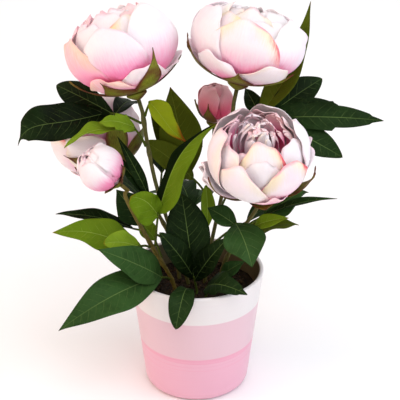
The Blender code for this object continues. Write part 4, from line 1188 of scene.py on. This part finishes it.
def make_calyx(letter, flower, material):
    """The calyx: a small cup under the petals with pointed sepals that lie along the outer petals."""
    draw = random.Random("calyx " + letter)
    radius = CALYX_RADIUS * (BUD_SCALE if letter in BUDS else 1.0)
    profile = [
        (AXIS_RADIUS, 0.0), (CALYX_FOOT_RADIUS, 0.0), (CALYX_FOOT_RADIUS + 2.2, 1.2), (radius - 1.2, 3.4),
        (radius, CALYX_SHOULDER), (radius + 0.3, 5.4), (radius - 0.3, CALYX_TOP), (AXIS_RADIUS, CALYX_TOP)]
    stock = Stock()
    stock.turned(stood(turned_grid(profile, CALYX_SIDES), flower), CALYX_TINT)
    inset = min(ring[1] for ring in flower.rings) - SEPAL_OFF
    for angle, closing, width in flower.sepals:
        sepal = Petal(angle, inset, width * SEPAL_BROADER, closing, 0.0, SEPAL_BELLY, SEPAL_RUFFLE,
                      SEPAL_FLARE, INNER_LOWERING, None)
        grid = cup_grid(flower, sepal, sepal_half_width, draw, SEPAL_ROWS, SEPAL_COLUMNS)
        stock.sheet(grid, SEPAL_THICKNESS, (draw.random(), 0.0, 0.0, 0.0), shift=draw.random())
    stock.made("calyx_" + letter, material, "calyx")


def pot_radius(height):
    """The outer radius of the pot's straight wall at a height."""
    return POT_FOOT_RADIUS + (POT_RIM_RADIUS - POT_FOOT_RADIUS) * height / POT_HEIGHT


def arc(centre, radius, start, end, steps):
    """Points on an arc, with both of its ends."""
    turns = [math.radians(start + (end - start) * step / steps) for step in range(steps + 1)]
    return [(centre[0] + radius * math.cos(turn), centre[1] + radius * math.sin(turn)) for turn in turns]


def make_pot(material):
    """The pot, turned finely, with faint throwing rings on its lower band."""
    taper = math.atan2(POT_RIM_RADIUS - POT_FOOT_RADIUS, POT_HEIGHT)
    foot_centre = (pot_radius(POT_FOOT_ROUNDING) - POT_FOOT_ROUNDING / math.cos(taper), POT_FOOT_ROUNDING)
    outside = [(AXIS_RADIUS, 0.0)]
    outside += arc(foot_centre, POT_FOOT_ROUNDING, -90, -math.degrees(taper), POT_FOOT_STEPS)
    lip = POT_WALL / 2
    for height in np.arange(POT_FOOT_ROUNDING + 2, POT_HEIGHT - lip - 1, POT_WALL_STEP):
        ring = sum(math.exp(-((height - place) / RING_WIDTH) ** 2) for place in THROWING_RINGS)
        outside.append((pot_radius(height) - RING_DEPTH * ring, height))
    outside += arc((POT_RIM_RADIUS - lip, POT_HEIGHT - lip), lip, 0, 180, POT_LIP_STEPS)
    floor_centre = (pot_radius(POT_FLOOR) - POT_WALL - POT_INNER_ROUNDING, POT_FLOOR + POT_INNER_ROUNDING)
    inside = arc(floor_centre, POT_INNER_ROUNDING, 0, -90, POT_FLOOR_STEPS) + [(AXIS_RADIUS, POT_FLOOR)]
    within = np.zeros((len(outside) + len(inside), POT_SEGMENTS, 4))
    within[len(outside) - 2:, :, 0] = 1.0
    stock = Stock()
    stock.turned(turned_grid(outside + inside, POT_SEGMENTS), within.reshape(-1, 4))
    stock.made("pot", material, "pot")


def make_soil(material):
    """The soil: a plug with a crumbly top, and crumbs strewn on it."""
    draw = np.random.default_rng(SOIL_SEED)
    edge = pot_radius(SOIL_TOP) - POT_WALL - GAP
    bottom = POT_FLOOR + GAP
    low = pot_radius(bottom) - POT_WALL - GAP
    profile = [(AXIS_RADIUS, bottom)] + [(low - inward, bottom + up) for inward, up in SOIL_FOOT]
    profile.append((edge, SOIL_TOP - SOIL_EDGE_DROP))
    profile += [(radius, SOIL_TOP) for radius in np.linspace(edge, SOIL_MIDDLE_RADIUS, SOIL_RINGS)]
    grid = turned_grid(profile, SOIL_SIDES)
    rough = draw.uniform(-1, 1, (SOIL_RINGS, SOIL_SIDES))
    for _ in range(2):
        rough = (rough + np.roll(rough, 1, 1) + np.roll(rough, -1, 1)) / SOIL_SMOOTHING
    grid[-SOIL_RINGS:, :, 2] += SOIL_RELIEF * rough
    stock = Stock()
    stock.turned(grid, (0.0, 0.0, 0.0, 0.0), np.zeros((grid.size // 3, 2)))
    for _ in range(SOIL_CRUMBS):
        add_crumb(stock, draw, edge)
    stock.made("soil", material, "soil")


def add_crumb(stock, draw, edge):
    """Adds one irregular crumb of soil that rests on the top."""
    away = (edge - CRUMB_CLEAR) * math.sqrt(draw.uniform(0, 1))
    turn = draw.uniform(0, math.tau)
    grid = turned_grid(CRUMB_PROFILE, CRUMB_SIDES) * draw.uniform(*CRUMB_SIZES)
    grid *= draw.uniform(*CRUMB_SPREAD, grid.shape)
    grid += np.array([away * math.cos(turn), away * math.sin(turn), SOIL_TOP + CRUMB_RISE])
    stock.turned(grid, (draw.uniform(0, 1), 0.0, 0.0, 0.0), np.zeros((grid.size // 3, 2)))


class Value:
    """A number or colour that nodes give at each point of a surface, and sums and products of numbers."""

    def __init__(self, finish, socket):
        self.finish = finish
        self.socket = socket

    def __add__(self, other):
        return self.finish.math("ADD", self, other)

    def __sub__(self, other):
        return self.finish.math("SUBTRACT", self, other)

    def __rsub__(self, other):
        return self.finish.math("SUBTRACT", other, self)

    def __mul__(self, other):
        return self.finish.math("MULTIPLY", self, other)

    def __abs__(self):
        return self.finish.math("ABSOLUTE", self, 0.0)

    def fract(self):
        """What is left of the number past its last whole one."""
        return self.finish.math("FRACT", self, 0.0)

    def rise(self, start, end, low=0.0, high=1.0):
        """Goes smoothly from low to high while the number goes from start to end."""
        inputs = (self, start, end, low, high)
        return self.finish.node("ShaderNodeMapRange", inputs, interpolation_type="SMOOTHSTEP")

    def cloudy(self, low=0.0, high=1.0):
        """Goes smoothly from low to high over the range that a noise mostly has."""
        return self.rise(*CLOUDY, low, high)


class Finish:
    """Builds the nodes of one procedural material."""

    def __init__(self, name, **plain):
        self.material = bpy.data.materials.new(name)
        self.material.use_nodes = True
        self.nodes = self.material.node_tree.nodes
        self.shader = self.nodes["Principled BSDF"]
        for socket, value in plain.items():
            self.shader.inputs[socket.replace("_", " ")].default_value = value
        self.place = self.node("ShaderNodeTexCoord", (), "Object")

    def put(self, socket, value):
        """Links a value that comes from a node, or sets a plain one."""
        if isinstance(value, Value):
            self.material.node_tree.links.new(value.socket, socket)
        else:
            socket.default_value = value

    def node(self, kind, inputs, output=0, **settings):
        """What a new node with these settings and first inputs gives."""
        node = self.nodes.new(kind)
        for name, setting in settings.items():
            setattr(node, name, setting)
        for key, value in inputs.items() if isinstance(inputs, dict) else enumerate(inputs):
            self.put(node.inputs[key], value)
        return Value(self, node.outputs[output])

    def math(self, operation, first, second, clamp=False):
        """A sum, product or other reckoning with two numbers."""
        return self.node("ShaderNodeMath", (first, second), operation=operation, use_clamp=clamp)

    def most(self, first, second):
        """The larger of two numbers."""
        return self.math("MAXIMUM", first, second)

    def mix(self, part, first, second):
        """The first colour with a part of the second in it."""
        first, second = [shade if isinstance(shade, Value) else linear(shade) for shade in (first, second)]
        return self.node("ShaderNodeMix", {0: part, 6: first, 7: second}, 2, data_type="RGBA")

    def noise(self, name, vector=None):
        """One of the noises, around one half."""
        scale, detail, roughness = NOISES[name]
        inputs = {"Scale": scale, "Detail": detail, "Roughness": roughness, "Vector": vector or self.place}
        return self.node("ShaderNodeTexNoise", inputs)

    def squeezed(self, name, vector):
        """One of the noises, squeezed along the axes of a vector."""
        scaled = self.node("ShaderNodeVectorMath", (vector, SQUEEZES[name]), operation="MULTIPLY")
        return self.noise(name, scaled)

    def parts(self, vector, kind="XYZ"):
        """The parts of a vector or colour."""
        split = self.nodes.new("ShaderNodeSeparate" + kind)
        self.put(split.inputs[0], vector)
        return [Value(self, output) for output in split.outputs]

    def layer(self, name):
        """A map of the mesh."""
        return self.node("ShaderNodeUVMap", (), uv_map=name)

    def tint(self):
        """The four parts of the mesh's tint."""
        tint = self.node("ShaderNodeAttribute", (), "Color", attribute_name="tint")
        return self.parts(tint, "Color") + [Value(self, tint.socket.node.outputs["Alpha"])]

    def done(self, colour, roughness, relief, strength, distance):
        """Connects colour, roughness and bump to the shader."""
        self.put(self.shader.inputs["Base Color"], colour)
        self.put(self.shader.inputs["Roughness"], roughness)
        bump = self.node("ShaderNodeBump", {"Strength": strength, "Distance": distance, "Height": relief})
        self.put(self.shader.inputs["Normal"], bump)
        return self.material


def pot_finish():
    """Satin glaze in three bands, a little uneven, over a brown inside darkened with painted shade."""
    made = Finish("pot_glaze", Coat_Weight=0.15, Coat_Roughness=0.25)
    # Three bands whose edges waver a little
    up = made.parts(made.place)[2]
    height = up + (made.noise("band edges") - 0.5) * (BAND_WAVER * MM)
    cloud = made.noise("glaze")
    low, middle, high = [made.mix(cloud, *shades) for shades in (BAND_LOW, BAND_MIDDLE, BAND_HIGH)]
    edge, low_top, high_from = BAND_BLUR * MM, LOW_BAND_TOP * MM, HIGH_BAND_FROM * MM
    ring_from = (LOW_BAND_TOP - RING_HEIGHT) * MM
    colour = made.mix(height.rise(low_top - edge, low_top + edge), low, middle)
    colour = made.mix(height.rise(high_from - edge, high_from + edge), colour, high)
    # The brown inside, darkened with painted shade
    inside = made.tint()[0]
    colour = made.mix(inside, colour, made.mix(made.noise("inside"), *POT_INSIDE_BROWN_AND_SHADE))
    # A deeper ring at the top of the low band, fine level lines that strengthen up to it, and specks
    strata = made.squeezed("strata", made.place)
    ring = height.rise(ring_from - edge, ring_from + edge)
    ring = ring * height.rise(low_top - edge, low_top, RING_SHADE, 0.0)
    faded = height.rise(LINES_FROM * MM, low_top, *LINE_SHADES)
    faded = faded * height.rise(low_top, low_top + edge, 1.0, LINES_ABOVE)
    lined = strata.rise(*LINES_AT) * faded
    colour = made.mix(made.most(ring, lined) * (1.0 - inside), colour, POT_LINE)
    colour = made.mix(made.noise("specks").rise(*SPECKS_AT) * SPECK_SHADE, colour, POT_SPECK)
    sheen = made.noise("sheen").cloudy(*GLAZE_ROUGHNESS)
    relief = made.noise("dents") + made.noise("grain") * GRAIN_RELIEF + strata * STRATA_RELIEF
    return made.done(colour, sheen, relief, *GLAZE_BUMPS)


def soil_finish():
    """Dark crumbly peat with lighter fibres."""
    made = Finish("soil_crumbs", Specular_IOR_Level=0.2)
    shade = made.tint()[0]
    grain = made.noise("soil")
    colour = made.mix(grain.rise(*PATCHY), SOIL_DARK, SOIL_LIGHT)
    colour = made.mix(shade * FIBRE_SHADE, colour, SOIL_FIBRE)
    crumbs = made.node("ShaderNodeTexVoronoi", {"Scale": SOIL_GRAINS, "Vector": made.place}, "Distance")
    relief = grain + crumbs * GRAINS_RELIEF
    return made.done(colour, grain.cloudy(*SOIL_ROUGHNESS), relief, *SOIL_BUMPS)


def stem_finish():
    """Wrapped stems, green to ochre, streaked along their length."""
    made = Finish("stem_skin", Specular_IOR_Level=0.35)
    shade, ochre = made.tint()[:2]
    streak = made.squeezed("stem streaks", made.layer("Cloth"))
    yellowed = made.math("ADD", ochre, made.noise("ochre") - 0.5, True)
    green, tan = [made.mix(streak.cloudy(), *shades) for shades in (STEM_GREEN, STEM_OCHRE)]
    colour = made.mix(yellowed, green, tan)
    colour = made.mix(shade * STEM_DARKENING, colour, STEM_OCHRE[0])
    return made.done(colour, streak.rise(0.2, 0.8, *STEM_ROUGHNESS), streak, *STEM_BUMPS)


def leaf_finish(kind):
    """A leaf's cloth with its midrib, side veins and their net, and mottling."""
    base, light, rib, other, tipped = LEAF_COLOURS[kind]
    made = Finish("leaf_" + kind, Specular_IOR_Level=LEAF_SPECULAR[kind])
    shade, turned, stalk, browned = made.tint()
    side, along, _ = made.parts(made.layer("Span"))
    wide, tall, _ = made.parts(made.layer("Cloth"))
    # Side veins that leave the midrib in turn on its two sides, the midrib, and a fine net between them
    off = wide - 0.5
    out = abs(off)
    aside = abs(side - 0.5)
    stray = (made.noise("straying") - 0.5) * VEIN_STRAYING
    swept = tall - out * (out * VEIN_CURVE + VEIN_SLANT) + stray
    beat = swept * (CLOTH_UNIT / VEIN_SPACING) + off.rise(-0.001, 0.001, 0.0, VEIN_STAGGER)
    vein = abs(beat.fract() - 0.5).rise(0.0, VEIN_BREADTH, 1.0, 0.0) * aside.rise(*VEIN_FADE)
    spine = out.rise(*MIDRIB_BREADTH, 1.0, 0.0) * along.rise(*MIDRIB_FADE)
    net = abs(made.noise("net") - 0.5).rise(0.0, NET_BREADTH, 1.0, 0.0)
    # Cloudy green, lighter with the leaf's lightness, which is partly painted light and shade, with the
    # veins over it
    cloud = made.noise("leaf")
    mottle = made.noise("mottle")
    tone = made.math("ADD", cloud.rise(0.3, 0.75, *CLOUD_TONES), shade * SHADE_TONE, True)
    colour = made.mix(tone, base, light)
    colour = made.mix(mottle.rise(0.45, 0.75) * MOTTLE_SHADE, colour, base)
    colour = made.mix(net * NET_SHADE, colour, rib)
    colour = made.mix(vein * mottle.rise(0.35, 0.65, *VEIN_SHADES), colour, rib)
    colour = made.mix(spine * cloud.cloudy(*MIDRIB_SHADES), colour, rib)
    # The dark half of painted shade, the worn tip, yellow that browns toward the end, and the stalk
    colour = made.mix(turned, colour, other)
    colour = made.mix((along + mottle * TIP_RAGGEDNESS).rise(*TIP_AT), colour, tipped)
    colour = made.mix(browned * YELLOWING, colour, LEAF_YELLOW)
    brown = (along + aside * cloud).rise(*BROWN_AT)
    colour = made.mix(brown * browned, colour, LEAF_BROWN)
    colour = made.mix(stalk, colour, made.mix(cloud, *STALK_COLOURS))
    # Veins lie sunk in the woven cloth
    sunk = made.most(vein * VEIN_DEPTH + net * NET_DEPTH, spine)
    relief = mottle * MOTTLE_RELIEF + made.noise("weave") * LEAF_WEAVE_RELIEF - sunk
    return made.done(colour, mottle.cloudy(*LEAF_ROUGHNESS[kind]), relief, *LEAF_BUMPS)


def petal_finish():
    """Satin petals: pink at the root, white to lavender above, with blushed edges and yellow tips."""
    made = Finish("petal_satin", Subsurface_Weight=0.4, Subsurface_Scale=0.002, Sheen_Weight=0.12,
                  Sheen_Roughness=0.4, Specular_IOR_Level=0.3, Subsurface_Radius=(0.9, 1.0, 1.0))
    reach, yellow, blush, rim = made.tint()
    side, along, _ = made.parts(made.layer("Span"))
    cloth = made.layer("Cloth")
    # Streaks and fine fibres along the cloth, and how far up the petal each point seems to lie
    streak = made.squeezed("petal streaks", cloth)
    fine = made.squeezed("fibres", cloth)
    cloud = made.noise("petal")
    loose = (streak * 0.5 + cloud - 0.75) * PETAL_STRAYING
    level = along + loose
    rooted = level.rise(reach - PINK_FADE[0], reach + PINK_FADE[1], 1.0, 0.0)
    # White to lavender with cream and pink fibres and an even blush, pink and deeper toward the root
    white = made.mix(cloud.rise(*PATCHY), PETAL_WHITE, PETAL_LAVENDER)
    white = made.mix(fine.cloudy(0.0, CREAM_SHADE), white, PETAL_CREAM)
    flushed = made.math("MULTIPLY", blush, streak.rise(0.25, 0.75, *BLUSH_SHADES), True)
    white = made.mix(fine.rise(*FIBRES_AT) * along.rise(*FIBRE_SHADES), white, PETAL_PINK)
    colour = made.mix(rooted, made.mix(flushed, white, PETAL_BLUSH), PETAL_PINK)
    deepened = level.rise(reach - DEEP_FADE[0], reach + DEEP_FADE[1], 1.0, 0.0)
    colour = made.mix(deepened, colour, PETAL_DEEP)
    # Yellow tips, a pink line along the edge, and a flame along one side
    aside = abs(side - 0.5)
    colour = made.mix((level + aside).rise(*YELLOW_AT) * yellow, colour, PETAL_YELLOW)
    edge = made.most(aside.rise(*EDGE_AT), along.rise(*EDGE_TIP_AT))
    colour = made.mix(edge * rim * cloud.rise(*EDGE_SHADES), colour, PETAL_EDGE)
    flame = (side + loose * FLAME_STRAYING).rise(*FLAME_SIDE) * along.rise(*FLAME_RISE)
    colour = made.mix(flame * rim.rise(*FLAMED_FROM), colour, PETAL_FLAME)
    # The dusky bud: crimson low down, brownish pink above, dimmed partly by painted shade
    dusk = made.mix(level.rise(*DUSK_AT), PETAL_CRIMSON, made.mix(streak, *PETAL_DUSK_AND_SHADE))
    colour = made.mix(blush.rise(*DUSKY_FROM), colour, dusk)
    relief = streak + fine * FIBRE_RELIEF + made.noise("petal weave") * WEAVE_RELIEF
    return made.done(colour, streak.cloudy(*PETAL_ROUGHNESS), relief, *PETAL_BUMPS)


def calyx_finish():
    """Olive sepals that brown toward their edges and tips."""
    made = Finish("calyx_skin", Specular_IOR_Level=0.3)
    shade = made.tint()[0]
    side, along, _ = made.parts(made.layer("Span"))
    streak = made.squeezed("sepal streaks", made.layer("Cloth"))
    cloud = made.noise("sepal")
    colour = made.mix(streak.cloudy(), CALYX_OLIVE, CALYX_GREEN)
    colour = made.mix((shade * SEPAL_SHADE + cloud).rise(*SEPAL_PATCHES), colour, CALYX_BROWN)
    # Brown edges and tips
    edge = made.most(abs(side - 0.5).rise(*SEPAL_EDGE_AT), along.rise(*SEPAL_TIP_AT))
    colour = made.mix(edge * cloud.rise(*SEPAL_EDGE_SHADES), colour, CALYX_BROWN)
    relief = streak + made.noise("weave") * WEAVE_RELIEF
    return made.done(colour, cloud.cloudy(*CALYX_ROUGHNESS), relief, *CALYX_BUMPS)


def placed(name, data, place, axis, toward):
    """A lamp or camera at a place in metres, with its axis turned toward a direction."""
    item = bpy.data.objects.new(name, data)
    item.location = place
    item.rotation_euler = toward.to_track_quat(axis, "Y").to_euler()
    bpy.context.scene.collection.objects.link(item)
    return item


def stage():
    """A plain pale floor, soft studio light, and the camera at the photograph's angle."""
    bpy.ops.mesh.primitive_plane_add(size=FLOOR_SIDE)
    floor = bpy.context.object
    floor.name = "floor"
    made = Finish("floor_paper")
    cloud = made.noise("floor")
    colour = made.mix(cloud, *FLOOR_COLOURS)
    paper = made.done(colour, cloud.cloudy(*PAPER_ROUGHNESS), made.noise("paper"), *PAPER_BUMPS)
    floor.data.materials.append(paper)
    world = bpy.data.worlds.new("studio")
    world.use_nodes = True
    sky = world.node_tree.nodes["Background"]
    sky.inputs["Color"].default_value = SKY_COLOUR
    sky.inputs["Strength"].default_value = SKY_STRENGTH
    bpy.context.scene.world = world
    for name, (place, aim, size, power, colour) in LIGHTS.items():
        lamp = bpy.data.lights.new(name, "AREA")
        lamp.size = size
        lamp.energy = power
        lamp.color = colour
        placed(name, lamp, place, "-Z", Vector(aim) - Vector(place))
    camera = bpy.data.cameras.new("camera")
    camera.sensor_width = SENSOR_WIDTH
    camera.lens = SENSOR_WIDTH * FOCAL_PIXELS / PHOTO_SIDE
    camera.shift_x = TARGET_LEFT_OF_CENTRE / PHOTO_SIDE
    camera.shift_y = -TARGET_ABOVE_CENTRE / PHOTO_SIDE
    rise = math.radians(CAMERA_ELEVATION)
    back = Vector((0.0, -math.cos(rise), math.sin(rise)))
    place = (Vector(CAMERA_TARGET) + back * CAMERA_DISTANCE) * MM
    bpy.context.scene.camera = placed("camera", camera, place, "Z", back)
    bpy.context.scene.view_settings.view_transform = "Standard"


def make_all():
    """Makes every piece, each in its node's place."""
    make_pot(pot_finish())
    make_soil(soil_finish())
    skin = stem_finish()
    for name in STEM_ROUTES:
        make_stem(name, skin)
    satin, green = petal_finish(), calyx_finish()
    for letter, flower in FLOWERS.items():
        make_flower(letter, flower, satin)
        make_calyx(letter, flower, green)
    cloths = {kind: leaf_finish(kind) for kind in LEAF_COLOURS}
    for name, leaf in LEAVES.items():
        make_leaf(name, leaf, cloths[leaf.colour])


stage()
make_all()
